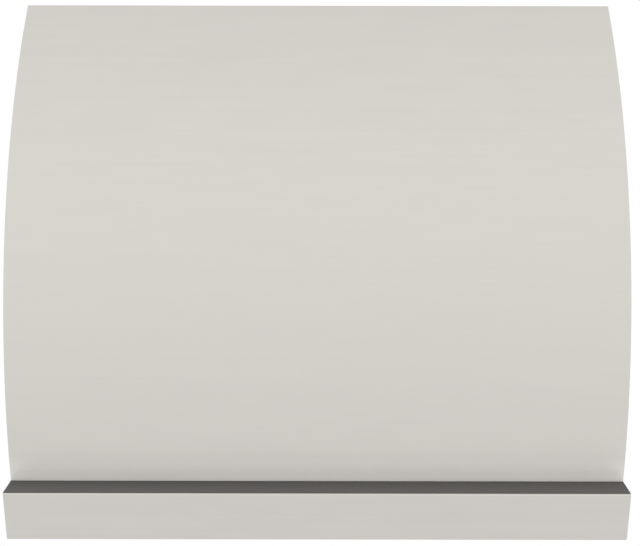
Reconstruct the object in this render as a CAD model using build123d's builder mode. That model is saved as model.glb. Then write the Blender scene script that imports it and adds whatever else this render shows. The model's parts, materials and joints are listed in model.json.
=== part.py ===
from build123d import *
import math
import os

# Wall-mount range hood, millimetres. X runs to the right, the wall is the plane Y = 0, the front faces -Y.
# Z = 0 is the middle of the wall bolt pattern. Every level is worked out from the canopy's lower edge.

# Canopy form
width = 914.4
height = 762.0
depth = 609.6
band_height = 76.2
ledge_depth = 38.1
top_depth = 304.8
top_front_gap = 2.0

# Sheets and clearances
skin_sheet = 1.2
top_sheet = 1.2
side_sheet = 1.2
band_sheet = 1.5
back_sheet = 1.5
trim_sheet = 1.0
liner_sheet = 1.2
bend = 2.2
seat_gap = 0.3
bearing_gap = 0.05
press_gap = 0.02

# Flanges
skin_foot_flange = 18.0
skin_top_flange = 20.0
side_flange = 14.0
notch_gap = 2.0
band_shelf_extra = 24.0
band_return = 20.0

# Wall fixing
lag_hole_radius = 4.25
lag_edge = 50.8
lag_spacing_z = 508.0
rail_height = 50.0
rail_sheet = 3.0
rail_flange = 16.0
rail_end_gap = 2.0

# Underside strip
strip_level = 26.0
strip_front_flange = 26.0
strip_depth = 141.6
strip_riser_level = 92.0
liner_top_level = 125.0
liner_rear_gap = 3.0

# Grease filters
filter_count = 3
filter_gap = 4.0
filter_side_gap = 2.2
filter_thickness = 19.0
filter_reach = 384.0
filter_overhang = 12.0
filter_slope = 6.0
filter_sheet = 0.8
filter_flange = 14.0
filter_end_gap = 0.3
pivot_depth = 74.0
pivot_level = 52.0
hook_sheet = 1.5
hook_width = 24.0
hook_drop = 7.0
hook_offset = 3.0
hook_edge = 50.0
hook_gap = 0.45
baffle_edge = 13.0
baffle_width = 18.0
baffle_lip = 8.5
baffle_bend = 1.4
baffle_count = 11
handle_rod_radius = 3.0
handle_spacing = 76.0
handle_drop = 22.0
handle_bend = 8.0
handle_inset = 7.0
magnet_size = (40.0, 12.0, 4.0)
magnet_edge = 55.0
magnet_inset = 10.0
rail_leg_drop = 40.0
rail_leg_reach = 22.0
filter_rail_sheet = 1.5

# Gutter and grease cup
gutter_level = 34.0
gutter_sheet = 1.2
gutter_rear_level = 66.0
drain_radius = 6.0
cup_size = (130.0, 50.0, 26.0)
cup_sheet = 1.0
cup_wall_distance = 38.0
cup_corner = 8.0
cup_foot_fillet = 3.0
cup_clip_width = 30.0
cup_clip_height = 14.0
cup_clip_foot = 14.0
cup_clip_sheet = 1.0

# Blower
blower_depth = 200.0
blower_level = 440.0
motor_radius = 60.0
motor_length = 110.0
motor_wall = 2.5
motor_cap = 7.0
bearing_radius = 11.0
shaft_radius = 6.0
stator_bore = 32.0
stator_length = 56.0
rotor_gap = 0.6
scroll_width = 120.0
scroll_sheet = 1.2
scroll_start_radius = 110.0
scroll_step = 14.0
scroll_outlet = 105.0
inlet_radius = 80.0
inlet_lip = 8.0
boss_hole_radius = 40.0
impeller_radius = 98.0
impeller_bore = 80.0
impeller_disc = 1.5
impeller_ring = 2.0
impeller_inner_gap = 7.0
impeller_outer_gap = 8.0
impeller_hub_radius = 15.0
impeller_hub_length = 30.0
blade_count = 36
blade_sheet = 0.9
blade_radius = 14.0
bracket_sheet = 2.5
bracket_width = 96.0
bracket_flange = 60.0
saddle_width = 30.0
saddle_reach = 42.0
saddle_foot = 3.0
grommet_radius = 8.0
grommet_thickness = 6.0
grommet_spacing = (70.0, 36.0)
capacitor_radius = 18.0
capacitor_length = 62.0
capacitor_offset = 82.0
capacitor_level = 470.0
capacitor_chamfer = 2.0

# Outlet box, collar and damper
outlet_floor_level = 580.0
outlet_deck_level = 700.0
outlet_sheet = 1.2
outlet_overlap = 5.0
outlet_rear_gap = 40.0
outlet_length = 224.0
outlet_flange = 14.0
duct_cutout = 216.0
collar_radius = 100.6
collar_sheet = 1.2
collar_shoulder = 2.6
collar_low_level = 658.0
collar_top_drop = 4.0
pin_level = 664.0
pin_offset = 5.0
pin_radius = 2.0
pin_hole_gap = 0.3
pin_overhang = 3.0
knuckle_sheet = 1.2
knuckle_count = 4
knuckle_length = 22.0
knuckle_gap = 0.6
knuckle_share = 0.94
flap_sheet = 0.8
flap_edge_gap = 1.8
stop_ring = 5.0
stop_sheet = 1.2
cross_bar_width = 24.0

# Lamps
lamp_edge = 207.2
lamp_front_offset = 72.0
lamp_hole_radius = 34.0
bezel_radius = 40.0
bezel_sheet = 1.6
bezel_neck = 6.0
bezel_wall = 2.4
lens_thickness = 2.6
lens_recess = 1.0
module_radius = 33.0
module_height = 18.0
fin_count = 9
fin_sheet = 1.6
fin_depth = 6.0
driver_size = (90.0, 34.0, 24.0)
driver_shift = 4.5

# Controls
knob_spacing = 120.0
knob_radius = 16.0
knob_height = 16.0
knob_gap = 1.0
knob_flutes = 14
knob_flute_radius = 1.6
knob_chamfer = 1.0
pointer_width = 2.0
pointer_height = 1.0
control_shaft_radius = 3.0
control_shaft_low = 12.0
control_shaft_high = 15.0
switch_size = (30.0, 30.0, 22.0)
bush_radius = 5.5
bush_drop = 0.6
bush_hole_gap = 0.2
dimmer_radius = 12.0
dimmer_height = 14.0

# Electrical box
wiring_box_size = (110.0, 58.0, 92.0)
wiring_box_edge = 127.2
wiring_box_sheet = 1.2
wiring_post = 10.0
cover_sheet = 1.2
gland_bore = 6.0
gland_neck_radius = 11.0
gland_flange_radius = 17.0
gland_flange = 3.0
gland_length = 20.0
gland_depth = 30.0
terminal_size = (64.0, 18.0, 20.0)
terminal_ways = 4
terminal_hole_radius = 2.2
terminal_hole_depth = 12.0
terminal_drop = 14.0
cable_radius = 3.5
cable_spacing = 40.0
cable_bend = 22.0
motor_cable_rise = 96.0
side_cable_turn = 120.0
side_cable_lead = 20.0
cable_hole_gap = 0.5

# Screws
screw_radius = 2.0
screw_hole_gap = 0.2
screw_head_radius = 4.0
screw_head = 1.2
screw_length = 9.0
side_screw_count = 3
side_screw_pitch = 85.0
side_screw_depth = 150.0
blower_screw_count = 3
blower_screw_pitch = 150.0

# Canopy levels, as Z
bottom = -height / 2
top = height / 2
rim = bottom + band_sheet
band_top = bottom + band_height
shelf = band_top - trim_sheet
half_width = width / 2
lag_spacing_x = width - 2 * lag_edge
lamp_spacing = width - 2 * lamp_edge
wiring_box_x = wiring_box_edge - half_width
skin_foot = ledge_depth - depth
arc_run = depth - ledge_depth - top_depth
arc_rise = height - band_height
skin_radius = (arc_rise**2 + arc_run**2) / (2 * arc_run)
arc_angle = math.degrees(math.asin(arc_rise / skin_radius))
arc_centre = (skin_foot + skin_radius, band_top)
plate_top = top - skin_sheet
plate_under = plate_top - top_sheet
top_front = top_front_gap - top_depth
inner_half_width = half_width - side_flange - notch_gap
side_screw_x = half_width - side_flange / 2
side_screw_y = -side_screw_depth

# Underside levels, as Z
strip_under = bottom + strip_level
strip_over = strip_under + liner_sheet
strip_front = band_sheet - depth
strip_rear = strip_front + strip_depth
gutter_under = bottom + gutter_level
pivot_y = -pivot_depth
pivot_z = bottom + pivot_level
control_y = lamp_front_offset - depth
cup_y = -cup_wall_distance
cup_top = gutter_under - seat_gap
filter_middle = (filter_overhang - filter_reach) / 2
filter_length = filter_reach + filter_overhang
filter_pitch = (2 * (inner_half_width - filter_side_gap) + filter_gap) / filter_count
filter_width = filter_pitch - filter_gap
baffle_pitch = (filter_width - 2 * baffle_edge) / baffle_count
hook_spacing = filter_width - 2 * hook_edge
magnet_spacing = filter_width - 2 * magnet_edge
driver_low = knob_spacing / 2 + dimmer_radius
driver_high = lamp_spacing / 2 - module_radius
driver_x = (driver_low + driver_high) / 2 - driver_shift

# Blower levels, as Z
blower_y = -blower_depth
blower_z = bottom + blower_level
outlet_floor = bottom + outlet_floor_level
outlet_deck = bottom + outlet_deck_level
outlet_rear = -outlet_rear_gap
outlet_front = outlet_rear - outlet_length
collar_y = (outlet_rear + outlet_front) / 2
collar_low = bottom + collar_low_level
collar_top = top - collar_top_drop
pin_z = bottom + pin_level
scroll_near = motor_length / 2
outlet_half_width = scroll_near + scroll_width + outlet_overlap
blower_screw_x = outlet_half_width + outlet_flange / 2
capacitor_x = outlet_half_width + capacitor_offset
throat_radius = collar_radius - collar_shoulder
throat_bore = throat_radius - collar_sheet
bracket_under = blower_z - motor_radius - saddle_foot - bracket_sheet
bracket_rear = -back_sheet - grommet_thickness
bracket_hole_z = bracket_under + bracket_flange / 2 + bracket_sheet

os.makedirs("parts", exist_ok=True)


def write(piece, name):
    """Labels a finished piece and writes it to its own file."""
    piece.label = name
    export_step(piece, f"parts/{name}.step")


def sheet_section(points, thickness, radius=bend, plane=Plane.YZ):
    """Section of a folded sheet. The points run along one face, with the sheet on their left."""
    with BuildSketch(plane) as section:
        with BuildLine():
            FilletPolyline(*points, radius=radius)
            offset(amount=thickness, side=Side.LEFT)
        make_face()
    return section.sketch


def filter_point(along, up):
    """A point of the filters' plane, measured forward from the hooks' edge and up from the underside."""
    slope = math.radians(filter_slope)
    return (
        pivot_y - along * math.cos(slope) + up * math.sin(slope),
        pivot_z + along * math.sin(slope) + up * math.cos(slope),
    )


# Canopy skin
with BuildPart() as front_skin:
    with BuildSketch(Plane.YZ):
        with BuildLine():
            Line((skin_top_flange - top_depth, top), (-top_depth, top))
            CenterArc(arc_centre, skin_radius, 180 - arc_angle, arc_angle)
            Polyline((skin_foot, band_top), (skin_foot, shelf), (skin_foot + skin_foot_flange, shelf))
            offset(amount=skin_sheet, side=Side.LEFT, kind=Kind.INTERSECTION)
        make_face()
    extrude(amount=half_width, both=True)
    with BuildSketch(Plane.XY.offset(shelf)):
        with Locations((0, skin_foot + skin_sheet + seat_gap + skin_foot_flange / 2)):
            with GridLocations(half_width + inner_half_width, 1, 2, 1):
                Rectangle(half_width - inner_half_width, skin_foot_flange)
    extrude(amount=skin_sheet, mode=Mode.SUBTRACT)
write(front_skin.part, "front_skin")

# Front band, a channel whose upper flange is the ledge's shelf
with BuildPart() as front_band:
    band_points = [
        (skin_foot + band_shelf_extra, shelf),
        (-depth, shelf),
        (-depth, bottom),
        (band_return - depth, bottom),
    ]
    extrude(sheet_section(band_points, band_sheet), amount=half_width, both=True)
    with BuildSketch(Plane.XY.offset(shelf)):
        with Locations((0, skin_foot + skin_sheet + band_shelf_extra / 2)):
            with GridLocations(half_width + inner_half_width, 1, 2, 1):
                Rectangle(half_width - inner_half_width, band_shelf_extra)
    extrude(amount=-band_sheet, mode=Mode.SUBTRACT)
write(front_band.part, "front_band")

# Dark strip on the ledge, between the band's bend and the skin's foot
with BuildPart() as ledge_trim:
    with BuildSketch(Plane.YZ):
        with BuildLine():
            Polyline(
                (bend - depth, shelf),
                (skin_foot - seat_gap, shelf),
                (skin_foot - seat_gap, band_top),
                (bend - depth, band_top),
                close=True,
            )
        make_face()
    extrude(amount=half_width, both=True)
write(ledge_trim.part, "ledge_trim")


def side_outline(inset, plane):
    """Outline that fits inside the skin, band, top plate and back plate, set in by an inset."""
    gap = skin_sheet + seat_gap + inset
    radius = skin_radius - gap
    ceiling = plate_under - inset
    ledge_under = shelf - band_sheet - inset
    sweep_angle = math.degrees(math.asin((ceiling - band_top) / radius))
    with BuildSketch(plane) as outline:
        with BuildLine():
            curve = CenterArc(arc_centre, radius, 180, -sweep_angle)
            Polyline(
                curve @ 1,
                (-back_sheet - inset, ceiling),
                (-back_sheet - inset, rim + inset),
                (band_sheet - depth + inset, rim + inset),
                (band_sheet - depth + inset, ledge_under),
                (skin_foot + gap, ledge_under),
                curve @ 0,
            )
        make_face()
        fillet(outline.vertices().sort_by(Axis.X)[:2], radius=bend - inset)
    return outline.sketch


def side_panel(side):
    """A side plate with its edges folded inward."""
    with BuildPart() as panel:
        extrude(side_outline(0, Plane.YZ.offset(side * half_width)), amount=-side * side_flange)
        inner = side_outline(side_sheet, Plane.YZ.offset(side * (half_width - side_sheet)))
        extrude(inner, amount=-side * side_flange, mode=Mode.SUBTRACT)
        with BuildSketch(Plane.XY.offset(plate_under)):
            with Locations((side * side_screw_x, side_screw_y)):
                with GridLocations(1, side_screw_pitch, 1, side_screw_count):
                    Circle(screw_radius + screw_hole_gap)
        extrude(amount=-side_sheet, mode=Mode.SUBTRACT)
    return panel.part


write(side_panel(-1), "side_panel_left")
write(side_panel(1), "side_panel_right")

# Top plate, with a square cut-out for the recessed duct and a hole for the supply gland
with BuildPart() as top_panel:
    with BuildSketch(Plane.XY.offset(plate_under)):
        with Locations((0, top_front / 2)):
            Rectangle(width, -top_front)
        with Locations((0, collar_y)):
            Rectangle(duct_cutout, duct_cutout, mode=Mode.SUBTRACT)
            with GridLocations(2 * blower_screw_x, blower_screw_pitch / 2, 2, blower_screw_count):
                Circle(screw_radius + screw_hole_gap, mode=Mode.SUBTRACT)
        with Locations((wiring_box_x, -gland_depth)):
            Circle(gland_neck_radius + seat_gap, mode=Mode.SUBTRACT)
        with Locations((0, side_screw_y)):
            with GridLocations(2 * side_screw_x, side_screw_pitch, 2, side_screw_count):
                Circle(screw_radius + screw_hole_gap, mode=Mode.SUBTRACT)
    extrude(amount=top_sheet)
write(top_panel.part, "top_panel")

# Back plate, with the four lag holes
with BuildPart() as back_panel:
    with BuildSketch(Plane.XZ):
        with Locations((0, (rim + plate_under) / 2)):
            Rectangle(width, plate_under - rim)
        with GridLocations(lag_spacing_x, lag_spacing_z, 2, 2):
            Circle(lag_hole_radius, mode=Mode.SUBTRACT)
        with Locations((0, bracket_hole_z)):
            with GridLocations(*grommet_spacing, 2, 2):
                Circle(screw_radius + screw_hole_gap, mode=Mode.SUBTRACT)
    extrude(amount=back_sheet)
write(back_panel.part, "back_panel")


def back_rail(level):
    """An angle on the inner side of the back plate's lag holes, its flange on the upper edge."""
    near = -back_sheet
    half = rail_height / 2
    points = [(near, level - half), (near, level + half), (near - rail_flange, level + half)]
    with BuildPart() as rail:
        section = sheet_section(points, rail_sheet, rail_sheet + seat_gap)
        extrude(section, amount=inner_half_width - rail_end_gap, both=True)
        with BuildSketch(Plane.XZ.offset(-near)):
            with Locations((0, level)):
                with GridLocations(lag_spacing_x, 1, 2, 1):
                    Circle(lag_hole_radius)
        extrude(amount=rail_sheet, mode=Mode.SUBTRACT)
    return rail.part


write(back_rail(lag_spacing_z / 2), "back_rail_upper")
write(back_rail(-lag_spacing_z / 2), "back_rail_lower")

# Underside strip in front of the filters, with the lamp and control holes
with BuildPart() as control_strip:
    strip_points = [
        (strip_front, strip_under + strip_front_flange),
        (strip_front, strip_under),
        (strip_rear, strip_under),
        (strip_rear, bottom + strip_riser_level),
    ]
    extrude(sheet_section(strip_points, liner_sheet), amount=inner_half_width, both=True)
    with BuildSketch(Plane.XY.offset(strip_under)):
        with Locations((0, (strip_front + strip_rear) / 2)):
            Rectangle(2 * (half_width - side_sheet - seat_gap), strip_depth - 2 * bend)
        with Locations((0, control_y)):
            with GridLocations(lamp_spacing, 1, 2, 1):
                Circle(lamp_hole_radius, mode=Mode.SUBTRACT)
            with GridLocations(knob_spacing, 1, 2, 1):
                Circle(bush_radius + bush_hole_gap, mode=Mode.SUBTRACT)
    extrude(amount=liner_sheet)
    with BuildSketch(Plane.XY.offset(strip_under)):
        with Locations((0, control_y)):
            with GridLocations(lamp_spacing, 1, 2, 1):
                Circle(lamp_hole_radius)
            with GridLocations(knob_spacing, 1, 2, 1):
                Circle(bush_radius + bush_hole_gap)
    extrude(amount=liner_sheet, mode=Mode.SUBTRACT)
write(control_strip.part, "control_strip")


def filter_liner(side):
    """The upright side of the filter bay, with a foot that closes the gap to the side panel."""
    points = [
        (side * inner_half_width, bottom + liner_top_level),
        (side * inner_half_width, strip_under),
        (side * (half_width - side_sheet - seat_gap), strip_under),
    ]
    if side < 0:
        points.reverse()
    plane = Plane.XZ.offset(-strip_rear)
    with BuildPart() as liner:
        extrude(sheet_section(points, liner_sheet, plane=plane), amount=strip_rear + liner_rear_gap)
    return liner.part


write(filter_liner(-1), "filter_liner_left")
write(filter_liner(1), "filter_liner_right")

# Rail above the filters' front edge, which carries the magnets
with BuildPart() as front_filter_rail:
    rail_face = strip_rear - liner_sheet
    leg_up = filter_thickness + filter_end_gap + magnet_size[2]
    slope = math.radians(filter_slope)
    leg_along = (pivot_y - rail_face + leg_up * math.sin(slope)) / math.cos(slope)
    leg_corner = filter_point(leg_along, leg_up)
    rail_points = [
        (rail_face, leg_corner[1] - rail_leg_drop),
        leg_corner,
        filter_point(filter_reach - rail_leg_reach, leg_up),
    ]
    extrude(
        sheet_section(rail_points, filter_rail_sheet), amount=inner_half_width - seat_gap, both=True
    )
write(front_filter_rail.part, "front_filter_rail")

# Gutter whose front lip carries the filters' hooks
with BuildPart() as rear_gutter:
    lip_y = pivot_y + seat_gap
    gutter_points = [
        (lip_y, pivot_z - hook_gap),
        (lip_y, gutter_under),
        (-back_sheet, gutter_under),
        (-back_sheet, bottom + gutter_rear_level),
    ]
    extrude(
        sheet_section(gutter_points, gutter_sheet), amount=inner_half_width - seat_gap, both=True
    )
    with BuildSketch(Plane.XY.offset(gutter_under)):
        with Locations((0, cup_y)):
            Circle(drain_radius)
    extrude(amount=gutter_sheet, mode=Mode.SUBTRACT)
write(rear_gutter.part, "rear_gutter")

# Grease cup, open at the top
with BuildPart() as grease_cup:
    with Locations((0, cup_y, cup_top)):
        Box(*cup_size, align=(Align.CENTER, Align.CENTER, Align.MAX))
    fillet(grease_cup.edges().filter_by(Axis.Z), radius=cup_corner)
    fillet(grease_cup.faces().sort_by(Axis.Z)[0].edges(), radius=cup_foot_fillet)
    offset(amount=-cup_sheet, openings=grease_cup.faces().sort_by(Axis.Z)[-1])
write(grease_cup.part, "grease_cup")

# Spring clips that grip the cup's ends
with BuildPart() as cup_clips:
    for side in (-1, 1):
        near = side * (cup_size[0] / 2 + seat_gap)
        points = [
            (near, gutter_under - cup_clip_height),
            (near, gutter_under),
            (near + side * cup_clip_foot, gutter_under),
        ]
        if side > 0:
            points.reverse()
        plane = Plane.XZ.offset(-cup_y)
        section = sheet_section(points, cup_clip_sheet, cup_clip_sheet + seat_gap, plane)
        extrude(section, amount=cup_clip_width / 2, both=True)
write(cup_clips.part, "cup_clips")


def filter_location(index):
    """Where a filter hangs: its origin on the gutter's lip, its Y along the slope to the rear."""
    slope = math.radians(filter_slope)
    x = (index - (filter_count - 1) / 2) * filter_pitch
    upward = (0, math.sin(slope), math.cos(slope))
    return Plane(origin=(x, pivot_y, pivot_z), x_dir=(1, 0, 0), z_dir=upward).location


# Filter frame, a channel ring with two hooks below its rear edge
with BuildPart() as filter_frame:
    with Locations((0, filter_middle, filter_thickness / 2)):
        Box(filter_width, filter_length, filter_thickness)
        Box(
            filter_width - 2 * filter_sheet,
            filter_length - 2 * filter_sheet,
            filter_thickness - 2 * filter_sheet,
            mode=Mode.SUBTRACT,
        )
        Box(
            filter_width - 2 * filter_flange,
            filter_length - 2 * filter_flange,
            filter_thickness,
            mode=Mode.SUBTRACT,
        )
    with Locations((0, hook_offset + hook_sheet / 2, 0)):
        with GridLocations(hook_spacing, 1, 2, 1):
            Box(hook_width, hook_sheet, hook_drop, align=(Align.CENTER, Align.CENTER, Align.MAX))


def baffle_section(x, up):
    """Section of one baffle channel, open upward when up is 1 and downward when it is -1."""
    half = up * baffle_width / 2
    base = filter_thickness / 2 - up * (filter_thickness / 2 - filter_sheet)
    points = [
        (x - half, base + up * baffle_lip),
        (x - half, base),
        (x + half, base),
        (x + half, base + up * baffle_lip),
    ]
    return sheet_section(points, filter_sheet, baffle_bend, Plane.XZ.offset(-filter_middle))


# Filter baffles, two interleaved rows of channels that run down to the gutter
with BuildPart() as filter_baffles:
    baffle_half_length = filter_length / 2 - filter_sheet - seat_gap
    for row in range(baffle_count):
        x = (row - (baffle_count - 1) / 2) * baffle_pitch
        extrude(baffle_section(x, 1), amount=baffle_half_length, both=True)
    for row in range(baffle_count + 1):
        x = (row - baffle_count / 2) * baffle_pitch
        extrude(baffle_section(x, -1), amount=baffle_half_length, both=True)

# Filter handle, a bent rod below the front of the frame
with BuildPart() as filter_handle:
    with BuildLine(Plane.XZ.offset(filter_reach - handle_inset)) as handle_path:
        FilletPolyline(
            (-handle_spacing / 2, 0),
            (-handle_spacing / 2, -handle_drop),
            (handle_spacing / 2, -handle_drop),
            (handle_spacing / 2, 0),
            radius=handle_bend,
        )
    with BuildSketch(handle_path.line ^ 0):
        Circle(handle_rod_radius)
    sweep()

for index, place_name in enumerate(("left", "centre", "right")):
    write(filter_frame.part.moved(filter_location(index)), f"filter_frame_{place_name}")
    write(filter_baffles.part.moved(filter_location(index)), f"filter_baffles_{place_name}")
    write(filter_handle.part.moved(filter_location(index)), f"filter_handle_{place_name}")

# Catch magnets under the front rail
with BuildPart() as magnet_set:
    with Locations((0, magnet_inset - filter_reach, filter_thickness + filter_end_gap)):
        with GridLocations(magnet_spacing, 1, 2, 1):
            Box(*magnet_size, align=(Align.CENTER, Align.CENTER, Align.MIN))
with BuildPart() as filter_magnets:
    for index in range(filter_count):
        add(magnet_set.part.moved(filter_location(index)))
write(filter_magnets.part, "filter_magnets")


def scroll_section(inset, mouth):
    """Spiral of three quarter arcs that opens upward at the rear, set in by an inset."""
    start = scroll_start_radius - inset
    rear = start + 3 * scroll_step
    tongue = scroll_start_radius + 3 * scroll_step - scroll_outlet + inset
    shift = scroll_step
    with BuildSketch(Plane.YZ) as section:
        with BuildLine():
            brow = CenterArc((blower_y, blower_z), start, 90, 90)
            CenterArc((blower_y + shift, blower_z), start + shift, 180, 90)
            heel = CenterArc((blower_y + shift, blower_z + shift), start + 2 * shift, 270, 90)
            Polyline(
                heel @ 1,
                (blower_y + rear, mouth),
                (blower_y + tongue, mouth),
                (blower_y + tongue, blower_z + start),
                brow @ 0,
            )
        make_face()
    return section.sketch


def shifted(section, x):
    """A section in the YZ plane, moved along X."""
    return section.moved(Location((x, 0, 0)))


def scroll(side):
    """A scroll housing beside the motor, open to its impeller's eye and to the outlet box."""
    near = side * scroll_near
    far = side * (scroll_near + scroll_width)
    with BuildPart() as housing:
        extrude(shifted(scroll_section(0, outlet_floor), near), amount=side * scroll_width)
        hollow = scroll_section(scroll_sheet, outlet_floor + scroll_sheet)
        extrude(
            shifted(hollow, near + side * scroll_sheet),
            amount=side * (scroll_width - 2 * scroll_sheet),
            mode=Mode.SUBTRACT,
        )
        with BuildSketch(Plane.YZ.offset(far)):
            with Locations((blower_y, blower_z)):
                Circle(inlet_radius + scroll_sheet)
        extrude(amount=-side * inlet_lip)
        with BuildSketch(Plane.YZ.offset(far)):
            with Locations((blower_y, blower_z)):
                Circle(inlet_radius)
        extrude(amount=-side * inlet_lip, mode=Mode.SUBTRACT)
        with BuildSketch(Plane.YZ.offset(near)):
            with Locations((blower_y, blower_z)):
                Circle(boss_hole_radius)
        extrude(amount=side * scroll_sheet, mode=Mode.SUBTRACT)
    return housing.part


write(scroll(-1), "scroll_left")
write(scroll(1), "scroll_right")

# One forward-curved blade's section, drawn about the shaft's axis
with BuildSketch() as blade:
    with BuildLine():
        tip_angle = math.radians(360 / blade_count)
        blade_tip = impeller_radius - blade_sheet
        RadiusArc(
            (impeller_bore + blade_sheet, 0),
            (blade_tip * math.cos(tip_angle), blade_tip * math.sin(tip_angle)),
            blade_radius,
        )
        offset(amount=blade_sheet, side=Side.LEFT)
    make_face()


def impeller(side):
    """A drum of curved blades between a disc with a hub at the motor's side and a ring at the eye."""
    disc_x = side * (scroll_near + scroll_sheet + impeller_inner_gap)
    ring_x = side * (scroll_near + scroll_width - scroll_sheet - impeller_outer_gap)
    with BuildPart() as drum:
        with BuildSketch(Plane.YZ.offset(disc_x)):
            with Locations((blower_y, blower_z)):
                Circle(impeller_radius)
        extrude(amount=side * impeller_disc)
        with BuildSketch(Plane.YZ.offset(ring_x)):
            with Locations((blower_y, blower_z)):
                Circle(impeller_radius)
                Circle(impeller_bore, mode=Mode.SUBTRACT)
        extrude(amount=-side * impeller_ring)
        with BuildSketch(Plane.YZ.offset(disc_x)):
            with Locations((blower_y, blower_z)):
                with PolarLocations(0, blade_count):
                    add(blade.sketch)
        extrude(amount=ring_x - disc_x)
        with BuildSketch(Plane.YZ.offset(disc_x)):
            with Locations((blower_y, blower_z)):
                Circle(impeller_hub_radius)
        extrude(amount=side * impeller_hub_length)
        with BuildSketch(Plane.YZ.offset(disc_x)):
            with Locations((blower_y, blower_z)):
                Circle(shaft_radius + press_gap)
        extrude(amount=side * impeller_hub_length, mode=Mode.SUBTRACT)
    return drum.part


write(impeller(-1), "impeller_left")
write(impeller(1), "impeller_right")


def turned(outer, inner, low, high):
    """A ring or disc about the blower's axis, between two places along X."""
    with BuildPart() as ring:
        with BuildSketch(Plane.YZ.offset(low)):
            with Locations((blower_y, blower_z)):
                Circle(outer)
                if inner > 0:
                    Circle(inner, mode=Mode.SUBTRACT)
        extrude(amount=high - low)
    return ring.part


# Motor, from the casing inward
half_motor = motor_length / 2
with BuildPart() as motor_body:
    add(turned(motor_radius, bearing_radius, -half_motor, half_motor))
    add(
        turned(motor_radius - motor_wall, 0, motor_cap - half_motor, half_motor - motor_cap),
        mode=Mode.SUBTRACT,
    )
write(motor_body.part, "motor_body")

with BuildPart() as motor_bearings:
    for side in (-1, 1):
        ends = sorted((side * half_motor, side * (half_motor - motor_cap)))
        add(turned(bearing_radius - press_gap, shaft_radius + bearing_gap, *ends))
write(motor_bearings.part, "motor_bearings")

half_stator = stator_length / 2
write(
    turned(motor_radius - motor_wall - seat_gap, stator_bore, -half_stator, half_stator), "motor_stator"
)
write(
    turned(stator_bore - rotor_gap, shaft_radius + press_gap, -half_stator, half_stator), "motor_core"
)
shaft_end = scroll_near + scroll_sheet + impeller_inner_gap + impeller_hub_length
write(turned(shaft_radius, 0, -shaft_end, shaft_end), "motor_shaft")

# Bracket that holds the motor's saddle off the back plate
with BuildPart() as motor_bracket:
    bracket_points = [
        (blower_y - saddle_reach, bracket_under),
        (bracket_rear, bracket_under),
        (bracket_rear, bracket_under + bracket_flange),
    ]
    extrude(
        sheet_section(bracket_points, bracket_sheet, bracket_sheet + seat_gap),
        amount=bracket_width / 2,
        both=True,
    )
    with BuildSketch(Plane.YZ):
        with Locations((blower_y, bracket_under + bracket_sheet)):
            Rectangle(2 * saddle_reach, motor_radius, align=(Align.CENTER, Align.MIN))
        with Locations((blower_y, blower_z)):
            Circle(motor_radius + seat_gap, mode=Mode.SUBTRACT)
    extrude(amount=saddle_width / 2, both=True)
    with BuildSketch(Plane.XZ.offset(-bracket_rear)):
        with Locations((0, bracket_hole_z)):
            with GridLocations(*grommet_spacing, 2, 2):
                Circle(screw_radius + screw_hole_gap)
    extrude(amount=bracket_sheet, mode=Mode.SUBTRACT)
write(motor_bracket.part, "motor_bracket")

with BuildPart() as bracket_grommets:
    with BuildSketch(Plane.XZ.offset(back_sheet)):
        with Locations((0, bracket_hole_z)):
            with GridLocations(*grommet_spacing, 2, 2):
                Circle(grommet_radius)
                Circle(screw_radius + screw_hole_gap, mode=Mode.SUBTRACT)
    extrude(amount=grommet_thickness)
write(bracket_grommets.part, "bracket_grommets")

with BuildPart() as motor_capacitor:
    with BuildSketch(Plane.XZ.offset(back_sheet)):
        with Locations((capacitor_x, bottom + capacitor_level)):
            Circle(capacitor_radius)
    extrude(amount=capacitor_length)
    chamfer(motor_capacitor.faces().sort_by(Axis.Y)[0].edges(), length=capacitor_chamfer)
write(motor_capacitor.part, "motor_capacitor")

# Outlet box: a chamber over both scrolls, and a well above it round the recessed collar
with BuildPart() as outlet_box:
    with BuildSketch(Plane.XY.offset(outlet_floor)):
        with Locations((0, collar_y)):
            Rectangle(2 * outlet_half_width, outlet_length)
    extrude(amount=plate_under - outlet_floor)
    with BuildSketch(Plane.XY.offset(plate_under)):
        with Locations((0, collar_y)):
            Rectangle(2 * (outlet_half_width + outlet_flange), outlet_length + 2 * outlet_flange)
            with GridLocations(2 * blower_screw_x, blower_screw_pitch / 2, 2, blower_screw_count):
                Circle(screw_radius + screw_hole_gap, mode=Mode.SUBTRACT)
    extrude(amount=-outlet_sheet)
    with BuildSketch(Plane.XY.offset(outlet_floor + outlet_sheet)):
        with Locations((0, collar_y)):
            Rectangle(2 * (outlet_half_width - outlet_sheet), outlet_length - 2 * outlet_sheet)
    extrude(amount=outlet_deck - outlet_floor - outlet_sheet, mode=Mode.SUBTRACT)
    with BuildSketch(Plane.XY.offset(outlet_deck + outlet_sheet)):
        with Locations((0, collar_y)):
            Rectangle(2 * (outlet_half_width - outlet_sheet), outlet_length - 2 * outlet_sheet)
    extrude(amount=plate_under - outlet_deck - outlet_sheet, mode=Mode.SUBTRACT)
    with BuildSketch(Plane.XY.offset(outlet_deck)):
        with Locations((0, collar_y)):
            Circle(throat_radius + seat_gap)
    extrude(amount=outlet_sheet, mode=Mode.SUBTRACT)
    mouth_rear = blower_y + scroll_start_radius + 3 * scroll_step
    with BuildSketch(Plane.XY.offset(outlet_floor)):
        with Locations((0, mouth_rear - scroll_outlet / 2)):
            with GridLocations(2 * scroll_near + scroll_width, 1, 2, 1):
                Rectangle(scroll_width - 2 * scroll_sheet, scroll_outlet - 2 * scroll_sheet)
    extrude(amount=outlet_sheet, mode=Mode.SUBTRACT)
write(outlet_box.part, "outlet_box")

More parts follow.
